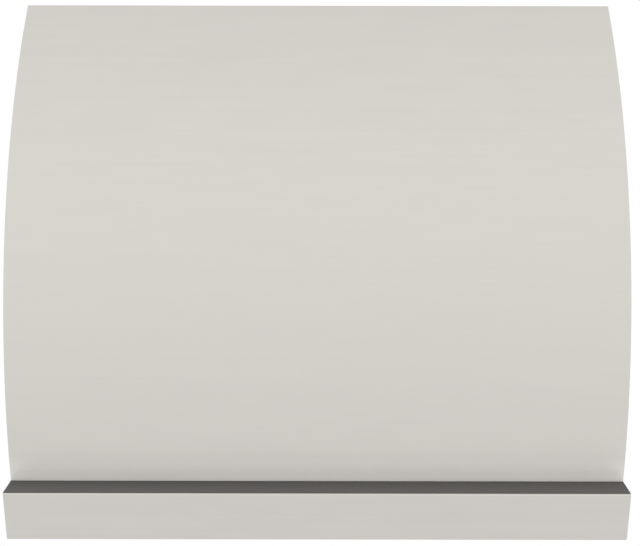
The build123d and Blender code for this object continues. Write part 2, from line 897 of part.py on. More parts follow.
# Duct collar below the top edge. Its shoulder stands on the deck, its throat holds the damper's two pins.
stop_top = pin_z - flap_sheet / 2 - seat_gap
knuckle_radius = pin_radius + bearing_gap + knuckle_sheet
shoulder_under = outlet_deck + outlet_sheet
with BuildPart() as duct_collar:
    with BuildSketch(Plane.XY.offset(collar_low)):
        with Locations((0, collar_y)):
            Circle(throat_radius)
    extrude(amount=shoulder_under - collar_low)
    with BuildSketch(Plane.XY.offset(shoulder_under)):
        with Locations((0, collar_y)):
            Circle(collar_radius)
    extrude(amount=collar_top - shoulder_under)
    with BuildSketch(Plane.XY.offset(shoulder_under + collar_sheet)):
        with Locations((0, collar_y)):
            Circle(collar_radius - collar_sheet)
    extrude(amount=collar_top - shoulder_under, mode=Mode.SUBTRACT)
    with BuildSketch(Plane.XY.offset(collar_low)):
        with Locations((0, collar_y)):
            Circle(throat_bore)
    extrude(amount=collar_top - collar_low, mode=Mode.SUBTRACT)
    with BuildSketch(Plane.XY.offset(stop_top)):
        with Locations((0, collar_y)):
            Circle(throat_bore + collar_sheet / 2)
            Circle(throat_bore - stop_ring, mode=Mode.SUBTRACT)
            Rectangle(
                2 * (pin_offset + knuckle_radius + 2 * knuckle_gap),
                2 * throat_bore,
                mode=Mode.SUBTRACT,
            )
    extrude(amount=-stop_sheet)
    with BuildSketch(Plane.XY.offset(pin_z - knuckle_radius - seat_gap)):
        with Locations((0, collar_y)):
            Circle(throat_bore + collar_sheet / 2)
            Rectangle(cross_bar_width, 2 * throat_radius, mode=Mode.INTERSECT)
    extrude(amount=-stop_sheet)
    with BuildSketch(Plane.XZ.offset(-collar_y)):
        with Locations((0, pin_z)):
            with GridLocations(2 * pin_offset, 1, 2, 1):
                Circle(pin_radius + pin_hole_gap)
    extrude(amount=throat_radius + collar_sheet, both=True, mode=Mode.SUBTRACT)
write(duct_collar.part, "duct_collar")

with BuildPart() as damper_pin:
    with BuildSketch(Plane.XZ.offset(-collar_y)):
        with Locations((0, pin_z)):
            with GridLocations(2 * pin_offset, 1, 2, 1):
                Circle(pin_radius)
    extrude(amount=throat_radius + pin_overhang, both=True)
write(damper_pin.part, "damper_pin")


def damper_flap(side):
    """Nearly half a disc, with the knuckles that turn on its own pin."""
    flap_radius = throat_bore - flap_edge_gap
    pin_x = side * pin_offset
    clear = knuckle_radius + knuckle_gap
    knuckle_pitch = (2 * flap_radius * knuckle_share - knuckle_length) / (knuckle_count - 1)
    with BuildPart() as flap:
        with BuildSketch(Plane.XY.offset(pin_z - flap_sheet / 2)):
            with Locations((0, collar_y)):
                Circle(flap_radius)
            with Locations((pin_x + side * (clear - collar_radius), collar_y)):
                Rectangle(2 * collar_radius, 2 * collar_radius, mode=Mode.SUBTRACT)
        extrude(amount=flap_sheet)
        for index in range(knuckle_count):
            middle = collar_y + (index - (knuckle_count - 1) / 2) * knuckle_pitch
            with BuildSketch(Plane.XZ.offset(-middle)):
                with Locations((pin_x, pin_z)):
                    Circle(knuckle_radius)
                with Locations((pin_x + side * clear / 2, pin_z)):
                    Rectangle(clear + flap_sheet, flap_sheet)
            extrude(amount=knuckle_length / 2, both=True)
        with BuildSketch(Plane.XZ.offset(-collar_y)):
            with Locations((pin_x, pin_z)):
                Circle(pin_radius + bearing_gap)
        extrude(amount=collar_radius, both=True, mode=Mode.SUBTRACT)
    return flap.part


write(damper_flap(-1), "damper_flap_left")
write(damper_flap(1), "damper_flap_right")

# Lamps: bezel below the strip, lens on the bezel's lip, finned module above
with BuildPart() as lamp_bezels:
    with BuildSketch(Plane.XY.offset(strip_under - bezel_sheet)):
        with Locations((0, control_y)):
            with GridLocations(lamp_spacing, 1, 2, 1):
                Circle(bezel_radius)
    extrude(amount=bezel_sheet)
    with BuildSketch(Plane.XY.offset(strip_under)):
        with Locations((0, control_y)):
            with GridLocations(lamp_spacing, 1, 2, 1):
                Circle(lamp_hole_radius - seat_gap)
    extrude(amount=bezel_neck)
    with BuildSketch(Plane.XY.offset(strip_under - bezel_sheet + lens_recess)):
        with Locations((0, control_y)):
            with GridLocations(lamp_spacing, 1, 2, 1):
                Circle(lamp_hole_radius - seat_gap - bezel_wall)
    extrude(amount=bezel_neck + bezel_sheet, mode=Mode.SUBTRACT)
    with BuildSketch(Plane.XY.offset(strip_under - bezel_sheet)):
        with Locations((0, control_y)):
            with GridLocations(lamp_spacing, 1, 2, 1):
                Circle(lamp_hole_radius - seat_gap - 2 * bezel_wall)
    extrude(amount=lens_recess, mode=Mode.SUBTRACT)
write(lamp_bezels.part, "lamp_bezels")

with BuildPart() as lamp_lenses:
    with BuildSketch(Plane.XY.offset(strip_under - bezel_sheet + lens_recess)):
        with Locations((0, control_y)):
            with GridLocations(lamp_spacing, 1, 2, 1):
                Circle(lamp_hole_radius - 2 * seat_gap - bezel_wall)
    extrude(amount=lens_thickness)
write(lamp_lenses.part, "lamp_lenses")

with BuildPart() as lamp_modules:
    with BuildSketch(Plane.XY.offset(strip_under + bezel_neck)):
        with Locations((0, control_y)):
            with GridLocations(lamp_spacing, 1, 2, 1):
                Circle(module_radius)
    extrude(amount=module_height)
    with BuildSketch(Plane.XY.offset(strip_under + bezel_neck + module_height)):
        with Locations((0, control_y)):
            with GridLocations(lamp_spacing, 1, 2, 1):
                with GridLocations(1, 2 * module_radius / fin_count, 1, fin_count):
                    Rectangle(2 * module_radius, 2 * module_radius / fin_count - fin_sheet)
    extrude(amount=-fin_depth, mode=Mode.SUBTRACT)
write(lamp_modules.part, "lamp_modules")

with BuildPart() as lamp_driver:
    with Locations((driver_x, control_y, strip_over)):
        Box(*driver_size, align=(Align.CENTER, Align.CENTER, Align.MIN))
    fillet(lamp_driver.edges().filter_by(Axis.Z), radius=bend)
write(lamp_driver.part, "lamp_driver")


def control_bush():
    """The bush below a switch or dimmer, through the strip, with the shaft's blind bearing."""
    with BuildPart() as bush:
        with Locations((0, 0, strip_under - bush_drop)):
            Cylinder(bush_radius, bush_drop + liner_sheet, align=(Align.CENTER, Align.CENTER, Align.MIN))
    return bush.part


def shaft_bore():
    """The space that a control's shaft turns in."""
    with BuildPart() as bore:
        with Locations((0, 0, strip_under - bush_drop)):
            Cylinder(
                control_shaft_radius + bearing_gap,
                bush_drop + liner_sheet + control_shaft_high + seat_gap,
                align=(Align.CENTER, Align.CENTER, Align.MIN),
            )
    return bore.part


with BuildPart() as fan_switch:
    with Locations((-knob_spacing / 2, control_y)):
        with Locations((0, 0, strip_over)):
            Box(*switch_size, align=(Align.CENTER, Align.CENTER, Align.MIN))
        add(control_bush())
        add(shaft_bore(), mode=Mode.SUBTRACT)
write(fan_switch.part, "fan_switch")

with BuildPart() as light_dimmer:
    with Locations((knob_spacing / 2, control_y)):
        with Locations((0, 0, strip_over)):
            Cylinder(dimmer_radius, dimmer_height, align=(Align.CENTER, Align.CENTER, Align.MIN))
            Box(
                dimmer_radius,
                2 * dimmer_radius,
                dimmer_height,
                align=(Align.MIN, Align.CENTER, Align.MIN),
            )
        add(control_bush())
        add(shaft_bore(), mode=Mode.SUBTRACT)
write(light_dimmer.part, "light_dimmer")

knob_top = strip_under - knob_gap
for name, side in (("fan", -1), ("light", 1)):
    x = side * knob_spacing / 2
    with BuildPart() as control_shaft:
        with Locations((x, control_y, knob_top - control_shaft_low)):
            Cylinder(
                control_shaft_radius,
                control_shaft_low + knob_gap + liner_sheet + control_shaft_high,
                align=(Align.CENTER, Align.CENTER, Align.MIN),
            )
    write(control_shaft.part, f"{name}_shaft")
    with BuildPart() as knob:
        with BuildSketch(Plane.XY.offset(knob_top)):
            with Locations((x, control_y)):
                Circle(knob_radius)
                with PolarLocations(knob_radius, knob_flutes):
                    Circle(knob_flute_radius, mode=Mode.SUBTRACT)
        extrude(amount=-knob_height)
        chamfer(knob.faces().sort_by(Axis.Z)[0].edges(), length=knob_chamfer)
        with Locations((x, control_y, knob_top - knob_height)):
            Box(
                pointer_width,
                knob_radius - knob_flute_radius - knob_chamfer,
                pointer_height,
                align=(Align.CENTER, Align.MAX, Align.MAX),
            )
        with Locations((x, control_y, knob_top)):
            Cylinder(
                control_shaft_radius + press_gap,
                control_shaft_low + seat_gap,
                align=(Align.CENTER, Align.CENTER, Align.MAX),
                mode=Mode.SUBTRACT,
            )
    write(knob.part, f"{name}_knob")

# Wiring box under the top plate, its cover and what it holds
wiring_y = -back_sheet - wiring_box_size[1] / 2
wiring_z = plate_under - wiring_box_size[2] / 2
cover_y = -back_sheet - wiring_box_size[1]
post_grid = (wiring_box_size[0] - wiring_post, wiring_box_size[2] - wiring_post)
with BuildPart() as wiring_box:
    with Locations((wiring_box_x, wiring_y, wiring_z)):
        Box(*wiring_box_size)
    with BuildSketch(Plane.XZ.offset(-cover_y)):
        with Locations((wiring_box_x, wiring_z)):
            Rectangle(
                wiring_box_size[0] - 2 * wiring_box_sheet,
                wiring_box_size[2] - 2 * wiring_box_sheet,
            )
            with GridLocations(*post_grid, 2, 2):
                Rectangle(wiring_post, wiring_post, mode=Mode.SUBTRACT)
    extrude(amount=wiring_box_sheet - wiring_box_size[1], mode=Mode.SUBTRACT)
    with BuildSketch(Plane.XZ.offset(-cover_y)):
        with Locations((wiring_box_x, wiring_z)):
            with GridLocations(*post_grid, 2, 2):
                Circle(screw_radius + screw_hole_gap)
    extrude(amount=-screw_length, mode=Mode.SUBTRACT)
    with BuildSketch(Plane.XY.offset(plate_under)):
        with Locations((wiring_box_x, -gland_depth)):
            Circle(gland_neck_radius + seat_gap)
    extrude(amount=-wiring_box_sheet, mode=Mode.SUBTRACT)
    with BuildSketch(Plane.XY.offset(plate_under - wiring_box_size[2])):
        with Locations((wiring_box_x, wiring_y)):
            with GridLocations(cable_spacing, 1, 2, 1):
                Circle(cable_radius + cable_hole_gap)
    extrude(amount=wiring_box_sheet, mode=Mode.SUBTRACT)
write(wiring_box.part, "wiring_box")

with BuildPart() as wiring_box_cover:
    with BuildSketch(Plane.XZ.offset(-cover_y)):
        with Locations((wiring_box_x, wiring_z)):
            Rectangle(wiring_box_size[0], wiring_box_size[2])
            with GridLocations(*post_grid, 2, 2):
                Circle(screw_radius + screw_hole_gap, mode=Mode.SUBTRACT)
    extrude(amount=cover_sheet)
write(wiring_box_cover.part, "wiring_box_cover")

with BuildPart() as supply_gland:
    with BuildSketch(Plane.XY.offset(top - seat_gap)):
        with Locations((wiring_box_x, -gland_depth)):
            Circle(gland_neck_radius)
    extrude(amount=-gland_length)
    with BuildSketch(Plane.XY.offset(plate_under - wiring_box_sheet)):
        with Locations((wiring_box_x, -gland_depth)):
            RegularPolygon(gland_flange_radius, 6)
    extrude(amount=-gland_flange)
    with BuildSketch(Plane.XY.offset(top - seat_gap)):
        with Locations((wiring_box_x, -gland_depth)):
            Circle(gland_bore)
    extrude(amount=-gland_length, mode=Mode.SUBTRACT)
write(supply_gland.part, "supply_gland")

with BuildPart() as terminal_block:
    with Locations((wiring_box_x, -back_sheet - wiring_box_sheet, wiring_z - terminal_drop)):
        Box(*terminal_size, align=(Align.CENTER, Align.MAX, Align.CENTER))
    with BuildSketch(Plane.XY.offset(wiring_z - terminal_drop + terminal_size[2] / 2)):
        with Locations((wiring_box_x, -back_sheet - wiring_box_sheet - terminal_size[1] / 2)):
            with GridLocations(terminal_size[0] / terminal_ways, 1, terminal_ways, 1):
                Circle(terminal_hole_radius)
    extrude(amount=-terminal_hole_depth, mode=Mode.SUBTRACT)
write(terminal_block.part, "terminal_block")


def cable(points, radii):
    """A round cable along straight runs joined by arcs."""
    with BuildPart() as run:
        with BuildLine() as route:
            FilletPolyline(*points, radius=radii)
        with BuildSketch(route.line ^ 0):
            Circle(cable_radius)
        sweep()
    return run.part


# Fixed cables from the wiring box: one to the motor, one down the left side to the switch
cable_top = plate_under - wiring_box_size[2] + wiring_box_sheet
switch_middle = strip_over + switch_size[2] / 2
motor_cable = [
    (wiring_box_x + cable_spacing / 2, wiring_y, cable_top),
    (wiring_box_x + cable_spacing / 2, wiring_y, blower_z + motor_cable_rise),
    (0, wiring_y, blower_z + motor_cable_rise),
    (0, wiring_y, blower_z),
    (0, blower_y + motor_radius, blower_z),
]
side_cable_x = (inner_half_width + liner_sheet + half_width - side_sheet) / -2
control_cable = [
    (wiring_box_x - cable_spacing / 2, wiring_y, cable_top),
    (wiring_box_x - cable_spacing / 2, wiring_y, side_cable_turn),
    (side_cable_x, wiring_y, side_cable_turn),
    (side_cable_x, wiring_y, switch_middle),
    (side_cable_x, strip_rear - side_cable_lead, switch_middle),
    (-knob_spacing / 2, strip_rear - side_cable_lead, switch_middle),
    (-knob_spacing / 2, control_y + switch_size[1] / 2, switch_middle),
]
with BuildPart() as wiring_harness:
    add(cable(motor_cable, cable_bend))
    add(cable(control_cable, cable_bend))
write(wiring_harness.part, "wiring_harness")

# Screws through the top plate, into the side panels and the outlet box
with BuildPart() as shell_screws:
    with BuildSketch(Plane.XY.offset(plate_top)):
        with Locations((0, side_screw_y)):
            with GridLocations(2 * side_screw_x, side_screw_pitch, 2, side_screw_count):
                Circle(screw_head_radius)
        with Locations((0, collar_y)):
            with GridLocations(2 * blower_screw_x, blower_screw_pitch / 2, 2, blower_screw_count):
                Circle(screw_head_radius)
    extrude(amount=screw_head)
    with BuildSketch(Plane.XY.offset(plate_top)):
        with Locations((0, side_screw_y)):
            with GridLocations(2 * side_screw_x, side_screw_pitch, 2, side_screw_count):
                Circle(screw_radius)
        with Locations((0, collar_y)):
            with GridLocations(2 * blower_screw_x, blower_screw_pitch / 2, 2, blower_screw_count):
                Circle(screw_radius)
    extrude(amount=-screw_length)
write(shell_screws.part, "shell_screws")

# Screws of the motor bracket and the wiring box's cover
with BuildPart() as inner_screws:
    for head_y, centre, grid, length in (
        (bracket_rear - bracket_sheet, (0, bracket_hole_z), grommet_spacing, screw_length + seat_gap),
        (cover_y - cover_sheet, (wiring_box_x, wiring_z), post_grid, screw_length),
    ):
        with BuildSketch(Plane.XZ.offset(-head_y)):
            with Locations(centre):
                with GridLocations(*grid, 2, 2):
                    Circle(screw_head_radius)
        extrude(amount=screw_head)
        with BuildSketch(Plane.XZ.offset(-head_y)):
            with Locations(centre):
                with GridLocations(*grid, 2, 2):
                    Circle(screw_radius)
        extrude(amount=-length)
write(inner_screws.part, "inner_screws")
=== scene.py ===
import contextlib
import json
import math

import bmesh
import bpy
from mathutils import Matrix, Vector


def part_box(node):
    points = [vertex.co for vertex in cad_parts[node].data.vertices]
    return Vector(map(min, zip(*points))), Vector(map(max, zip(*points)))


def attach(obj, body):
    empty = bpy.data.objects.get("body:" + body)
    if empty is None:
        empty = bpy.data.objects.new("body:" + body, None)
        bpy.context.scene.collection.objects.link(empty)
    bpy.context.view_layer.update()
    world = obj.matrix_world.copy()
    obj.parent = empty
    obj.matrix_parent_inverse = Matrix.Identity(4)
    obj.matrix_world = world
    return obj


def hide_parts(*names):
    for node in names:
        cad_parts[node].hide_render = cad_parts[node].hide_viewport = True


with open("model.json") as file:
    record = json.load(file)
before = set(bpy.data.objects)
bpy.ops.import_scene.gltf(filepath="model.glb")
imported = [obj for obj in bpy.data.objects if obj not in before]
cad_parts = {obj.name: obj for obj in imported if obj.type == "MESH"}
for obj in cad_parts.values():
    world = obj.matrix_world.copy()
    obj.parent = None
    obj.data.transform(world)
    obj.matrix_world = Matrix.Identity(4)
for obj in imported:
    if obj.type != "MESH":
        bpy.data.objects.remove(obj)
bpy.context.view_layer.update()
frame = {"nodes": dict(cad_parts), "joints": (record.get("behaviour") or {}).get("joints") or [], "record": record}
nodes = frame["nodes"]

MM = 0.001
NEAR = 1e-6


# The camera, in front of the hood and a little above its middle

LOOK_DOWN = 15.213

lens = bpy.data.cameras.new("camera")
lens.lens = 52.32
lens.sensor_width = 36.0
lens.clip_start = 0.05
lens.clip_end = 60.0
camera = bpy.data.objects.new("camera", lens)
camera.location = (0.0035, -1.8305, 0.3594)
camera.rotation_euler = [math.radians(turn) for turn in (90.0 - LOOK_DOWN, -0.105, 0.014)]
bpy.context.scene.collection.objects.link(camera)
bpy.context.scene.camera = camera
bpy.context.scene.view_settings.view_transform = "Standard"


# Shader maths


def both_ways(operation):
    """An operator on wires, as written and reflected. Each use adds one Math node."""

    def written(self, other):
        return self.maths(operation, self, other)

    def reflected(self, other):
        return self.maths(operation, other, self)

    return written, reflected


class Wire:
    """One output socket of a shader. Sums and products of wires add the Math nodes that work them out."""

    def __init__(self, nodes, socket):
        self.nodes = nodes
        self.socket = socket

    def maths(self, operation, *terms):
        return self.nodes.node("ShaderNodeMath", {"operation": operation}, dict(enumerate(terms)))

    __add__, __radd__ = both_ways("ADD")
    __sub__, __rsub__ = both_ways("SUBTRACT")
    __mul__, __rmul__ = both_ways("MULTIPLY")
    __truediv__, __rtruediv__ = both_ways("DIVIDE")
    __pow__, __rpow__ = both_ways("POWER")

    def least(self, other):
        return self.maths("MINIMUM", self, other)

    def most(self, other):
        return self.maths("MAXIMUM", self, other)

    def held(self):
        """The value kept between 0 and 1."""
        return self.nodes.node("ShaderNodeClamp", {}, {0: self})

    def ramp(self, low, high):
        """0 at low, 1 at high and even between."""
        return ((self - low) / (high - low)).held()


class Nodes:
    """A tree of shader nodes under construction."""

    def __init__(self, tree):
        self.tree = tree

    def node(self, kind, settings, sockets, output=0):
        """A node of a kind: its settings are made first, then its sockets get their values or wires."""
        made = self.tree.nodes.new(kind)
        for key, value in settings.items():
            if key == "greys":
                self.set_greys(made.color_ramp, value)
            else:
                setattr(made, key, value)
        for key, value in sockets.items():
            if isinstance(value, Wire):
                self.tree.links.new(value.socket, made.inputs[key])
            else:
                made.inputs[key].default_value = value
        return Wire(self, made.outputs[output])

    def set_greys(self, ramp, greys):
        """Eases a colour ramp through greys, each at its place from 0 to 1."""
        ramp.interpolation = "EASE"
        for place, _ in greys[2:]:
            ramp.elements.new(place)
        for element, (place, grey) in zip(ramp.elements, greys):
            element.position = place
            element.color = (grey, grey, grey, 1.0)

    def blend(self, share, first, second, way="MIX"):
        """A colour between two, or the second laid over the first in another way."""
        settings = {"data_type": "RGBA", "blend_type": way}
        pair = [c if isinstance(c, Wire) else (*c, 1.0) for c in (first, second)]
        return self.node("ShaderNodeMix", settings, {0: share, 6: pair[0], 7: pair[1]}, output=2)

    def ray(self, kind):
        """1 where a ray is of a kind, such as Camera, and 0 elsewhere."""
        return self.node("ShaderNodeLightPath", {}, {}, output=f"Is {kind} Ray")

    def lead(self, socket, wire, end="Principled BSDF"):
        """Links a wire to a socket of a node that the tree starts with."""
        self.tree.links.new(wire.socket, self.tree.nodes[end].inputs[socket])


class Paint(Nodes):
    """A material under construction, with the place on the object that its patterns read."""

    def __init__(self, name, **even):
        self.material = bpy.data.materials.new(name)
        self.material.use_nodes = True
        super().__init__(self.material.node_tree)
        shader = self.tree.nodes["Principled BSDF"]
        for socket, value in even.items():
            shader.inputs[socket.replace("_", " ")].default_value = value
        self.place = self.node("ShaderNodeTexCoord", {}, {}, output="Object")

    def axis(self, name):
        return self.node("ShaderNodeSeparateXYZ", {}, {0: self.place}, output=name)

    def noise(self, x, y, z, detail=2.0, rough=0.5):
        """Soft noise, from 0 to 1, with so many swings a metre along each axis."""
        place = self.node("ShaderNodeVectorMath", {"operation": "MULTIPLY"}, {0: self.place, 1: (x, y, z)})
        sockets = {"Vector": place, "Scale": 1.0, "Detail": detail, "Roughness": rough}
        return self.node("ShaderNodeTexNoise", {}, sockets)

    def tone(self, share, low, high):
        """Gives the shader a colour between two, and hands it on as a wire."""
        colour = self.blend(share.held(), low, high)
        self.lead("Base Color", colour)
        return colour

    def bump(self, height, depth, strength):
        """Leads a height, from 0 to 1 and so many metres deep, to the shader's normal."""
        sockets = {"Strength": strength, "Distance": depth, "Height": height}
        self.lead("Normal", self.node("ShaderNodeBump", {}, sockets, output="Normal"))


def tint(colour, factor):
    return tuple(min(1.0, c * factor) for c in colour)


# Swings of a brushed grain in a metre along X, Y and Z: few along its length and many across it. On the
# filters it follows their slope.
GRAIN = {"x": (2.2, 900.0, 900.0), "y": (900.0, 2.2, 900.0), "slope": (900.0, 2.2, 18.0)}


def brushed_paint(name, colour, along="x", roughness=0.36, grain=0.03, smudge=0.03):
    """Sheet steel with a fine grain one way, and faint cloudy wipes over it."""
    steel = Paint(name, Metallic=1.0)
    swings = GRAIN[along]
    fine = steel.noise(*swings, detail=3.0, rough=0.6)
    broad = steel.noise(*[s * 0.12 if s > 10.0 else s * 0.5 for s in swings])
    cloud = steel.noise(*[38.0 if s > 10.0 else 9.0 for s in swings])
    streak = fine * 0.5 + broad * 0.5
    share = (streak - 0.5) * 1.8 + 0.5 + (cloud - 0.5) * (smudge / grain)
    shade = steel.tone(share, tint(colour, 1.0 - grain), tint(colour, 1.0 + grain))
    steel.lead("Roughness", (streak - 0.5) * 0.3 + (cloud - 0.5) * 0.08 + roughness)
    steel.bump(fine, 0.00003, 0.5)
    return steel, shade


def brushed_steel(*about, **more):
    return brushed_paint(*about, **more)[0].material


def zinc_coated(name, colour):
    """Galvanised sheet with its spangle of crystals."""
    sheet = Paint(name, Metallic=1.0)
    cells = {"Vector": sheet.place, "Scale": 85.0}
    crystal = sheet.node("ShaderNodeTexVoronoi", {"feature": "F1"}, cells, output="Color")
    shade = sheet.node("ShaderNodeSeparateColor", {}, {0: crystal}, output="Red")
    small = sheet.noise(420.0, 420.0, 420.0)
    sheet.tone(shade * 0.75 + small * 0.25, tint(colour, 0.86), tint(colour, 1.12))
    sheet.lead("Roughness", shade * 0.14 + small * 0.06 + 0.36)
    sheet.bump(shade, 0.00001, 0.3)
    return sheet.material


def ground_steel(name, colour, roughness=0.26):
    """Ground or drawn steel with very fine marks in no main direction."""
    steel = Paint(name, Metallic=1.0)
    mark = steel.noise(1400.0, 1400.0, 1400.0)
    cloud = steel.noise(45.0, 45.0, 45.0, detail=3.0)
    steel.tone(mark * 0.6 + cloud * 0.4, tint(colour, 0.93), tint(colour, 1.05))
    steel.lead("Roughness", (cloud - 0.5) * 0.12 + roughness)
    steel.bump(mark, 0.000008, 0.3)
    return steel.material


def coated(name, colour, roughness, speckle=0.08, depth=0.00003):
    """Paint, moulded plastic or rubber: a fine texture and slightly uneven colour."""
    coat = Paint(name, Metallic=0.0)
    fine = coat.noise(700.0, 700.0, 700.0)
    cloud = coat.noise(14.0, 14.0, 14.0, detail=3.0)
    coat.tone(fine * 0.5 + cloud * 0.5, tint(colour, 1.0 - speckle), tint(colour, 1.0 + speckle))
    coat.lead("Roughness", (cloud - 0.5) * 0.14 + (fine - 0.5) * 0.08 + roughness)
    coat.bump(fine, depth, 0.5)
    return coat.material


def turned_metal(name, colour, centres, roughness=0.28):
    """Metal turned on a lathe about an upright axis, with rings round the nearest of its centres."""
    metal = Paint(name, Metallic=1.0)
    nearest = None
    for x, y in centres:
        across = metal.axis("X") - x
        deep = metal.axis("Y") - y
        reach = (across * across + deep * deep) ** 0.5
        nearest = reach if nearest is None else nearest.least(reach)
    sockets = {"W": nearest * 2600.0, "Scale": 1.0, "Detail": 2.0}
    rings = metal.node("ShaderNodeTexNoise", {"noise_dimensions": "1D"}, sockets)
    cloud = metal.noise(60.0, 60.0, 60.0)
    metal.tone(rings, tint(colour, 0.93), tint(colour, 1.05))
    metal.lead("Roughness", (rings - 0.5) * 0.12 + (cloud - 0.5) * 0.08 + roughness)
    metal.bump(rings, 0.00001, 0.4)
    return metal.material


STEEL = (0.747, 0.724, 0.684)
# Painted light at the front's foot: the heights where it fades out, how much paler it makes the steel and how much
# metal it takes away.
FOOT_LIGHT_LOW = -0.300
FOOT_LIGHT_HIGH = -0.266
FOOT_LIGHT_LIFT = 0.55
FOOT_LIGHT_METAL_CUT = 0.9


def shell_finish():
    """The front's steel. Near its foot, just above the ledge, its colour is painted paler and it is made less
    metallic: painted light against the shade and the dark reflection of the ledge there.
    """
    steel, streak = brushed_paint("shell steel", STEEL, roughness=0.48, grain=0.035)
    # Painted light: just above the ledge the colour is lifted and the metal share is cut, against the shade and
    # dark reflection there.
    painted_foot_light = 1.0 - steel.axis("Z").ramp(FOOT_LIGHT_LOW, FOOT_LIGHT_HIGH)
    steel.lead("Base Color", steel.blend(painted_foot_light * FOOT_LIGHT_LIFT, streak, tint(STEEL, 1.35)))
    steel.lead("Metallic", 1.0 - painted_foot_light * FOOT_LIGHT_METAL_CUT)
    return steel.material


shell_steel = shell_finish()
band_steel = brushed_steel("band steel", tint(STEEL, 0.97), roughness=0.38, grain=0.035)
side_steel = brushed_steel("side steel", STEEL, "y", roughness=0.34, grain=0.045, smudge=0.02)
lining_steel = brushed_steel("lining steel", tint(STEEL, 0.98), roughness=0.34)
dull_steel = brushed_steel("mill steel", (0.62, 0.615, 0.60), roughness=0.46, grain=0.05, smudge=0.05)
strip_steel = brushed_steel("strip steel", tint(STEEL, 0.99))
filter_steel = brushed_steel("filter steel", (0.70, 0.69, 0.67), "slope", roughness=0.28, grain=0.04)
galvanised = zinc_coated("galvanised sheet", (0.56, 0.58, 0.59))
polished = ground_steel("polished rod", (0.78, 0.78, 0.77), roughness=0.12)
spring = ground_steel("spring steel", (0.60, 0.60, 0.60))
zinc = ground_steel("zinc plate", (0.62, 0.63, 0.62), roughness=0.3)
laminated = brushed_steel("stacked laminations", (0.30, 0.30, 0.31), "y", roughness=0.45, grain=0.2)
cast = ground_steel("cast aluminium", (0.60, 0.61, 0.62), roughness=0.5)


def ledge_painted_shade():
    """The ledge's dark colour, painted shade in place of the shade and dark reflection on a steel shelf. The
    painted shade is deeper towards the rear, by the front's foot, and paler towards the front edge.
    """
    low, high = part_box("ledge_trim")
    coat = Paint("dark satin trim", Metallic=0.0)
    # Painted shade: darker towards the rear, where the front's foot stands on the ledge, and paler towards the
    # front edge.
    shade_fades_to_front = 1.0 - coat.axis("Y").ramp(low.y, high.y)
    fine = coat.noise(2.2, 700.0, 700.0)
    cloud = coat.noise(9.0, 9.0, 9.0, detail=3.0)
    share = shade_fades_to_front * 0.8 + (fine - 0.5) * 0.3 + (cloud - 0.5) * 0.25
    coat.tone(share, (0.050, 0.0485, 0.0445), (0.106, 0.103, 0.096))
    coat.lead("Roughness", (cloud - 0.5) * 0.14 + (fine - 0.5) * 0.1 + 0.36)
    coat.bump(fine, 0.00002, 0.4)
    return coat.material


# The ledge's dark colour is painted shade.
dark_trim = ledge_painted_shade()
magnet = coated("magnet epoxy", (0.03, 0.03, 0.032), 0.4)
motor_paint = coated("motor enamel", (0.04, 0.042, 0.045), 0.34)
rubber = coated("rubber", (0.03, 0.03, 0.03), 0.75, depth=0.00005)
white_plastic = coated("white plastic", (0.78, 0.78, 0.75), 0.42, speckle=0.02)
black_plastic = coated("black plastic", (0.035, 0.035, 0.037), 0.42)
sheath = coated("cable sheath", (0.09, 0.09, 0.095), 0.5)

lamp_radius = 40.0 * MM
bezel_low, bezel_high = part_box("lamp_bezels")
shaft_boxes = [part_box(name) for name in ("fan_shaft", "light_shaft")]
knob_centres = [((low.x + high.x) / 2, (low.y + high.y) / 2) for low, high in shaft_boxes]
lamp_x = bezel_high.x - lamp_radius
lamp_centres = [(-lamp_x, knob_centres[0][1]), (lamp_x, knob_centres[0][1])]
knob_metal = turned_metal("turned knob", (0.62, 0.62, 0.61), knob_centres)
lamp_trim = turned_metal("turned lamp ring", (0.75, 0.75, 0.74), lamp_centres, roughness=0.2)


def frosted_glass():
    glass = Paint("frosted lamp glass", Metallic=0.0, Transmission_Weight=0.85, IOR=1.46)
    fine = glass.noise(1800.0, 1800.0, 1800.0)
    glass.tone(fine, (0.86, 0.88, 0.86), (0.94, 0.95, 0.93))
    glass.lead("Roughness", fine * 0.14 + 0.38)
    glass.bump(fine, 0.00002, 0.4)
    return glass.material


lamp_glass = frosted_glass()

finishes = {
    "brushed_stainless": lining_steel,
    "plain_steel": dull_steel,
    "galvanised_steel": galvanised,
    # The dark_trim slot gets the ledge's painted shade.
    "dark_trim": dark_trim,
    "filter_steel": filter_steel,
    "handle_steel": polished,
    "magnet_black": magnet,
    "spring_steel": spring,
    "motor_black": motor_paint,
    "lamination_steel": laminated,
    "rubber_black": rubber,
    "plastic_white": white_plastic,
    "plastic_black": black_plastic,
    "lamp_trim": lamp_trim,
    "lamp_glass": lamp_glass,
    "cast_aluminium": cast,
    "knob_metal": knob_metal,
    "cable_sheath": sheath,
    "zinc_screws": zinc,
}
slot_of = {part["node"]: part["material_slot"] for part in frame["record"]["subparts"]}
body_of = {
    name: body for body, members in frame["record"]["behaviour"]["bodies"].items() for name in members
}
for name, node in nodes.items():
    node.data.materials.clear()
    node.data.materials.append(finishes[slot_of[name]])


# Bench work: small steps that every new piece is made with

dressed = set()


def nothing_selected():
    bpy.ops.object.select_all(action="DESELECT")


def taken(piece):
    """Makes one piece the only one that is selected, and the active one."""
    nothing_selected()
    piece.select_set(True)
    bpy.context.view_layer.objects.active = piece
    return piece


@contextlib.contextmanager
def in_edit(piece):
    """Edit mode on one piece, with nothing of it selected."""
    taken(piece)
    bpy.ops.object.mode_set(mode="EDIT")
    bpy.ops.mesh.select_all(action="DESELECT")
    yield
    bpy.ops.object.mode_set(mode="OBJECT")


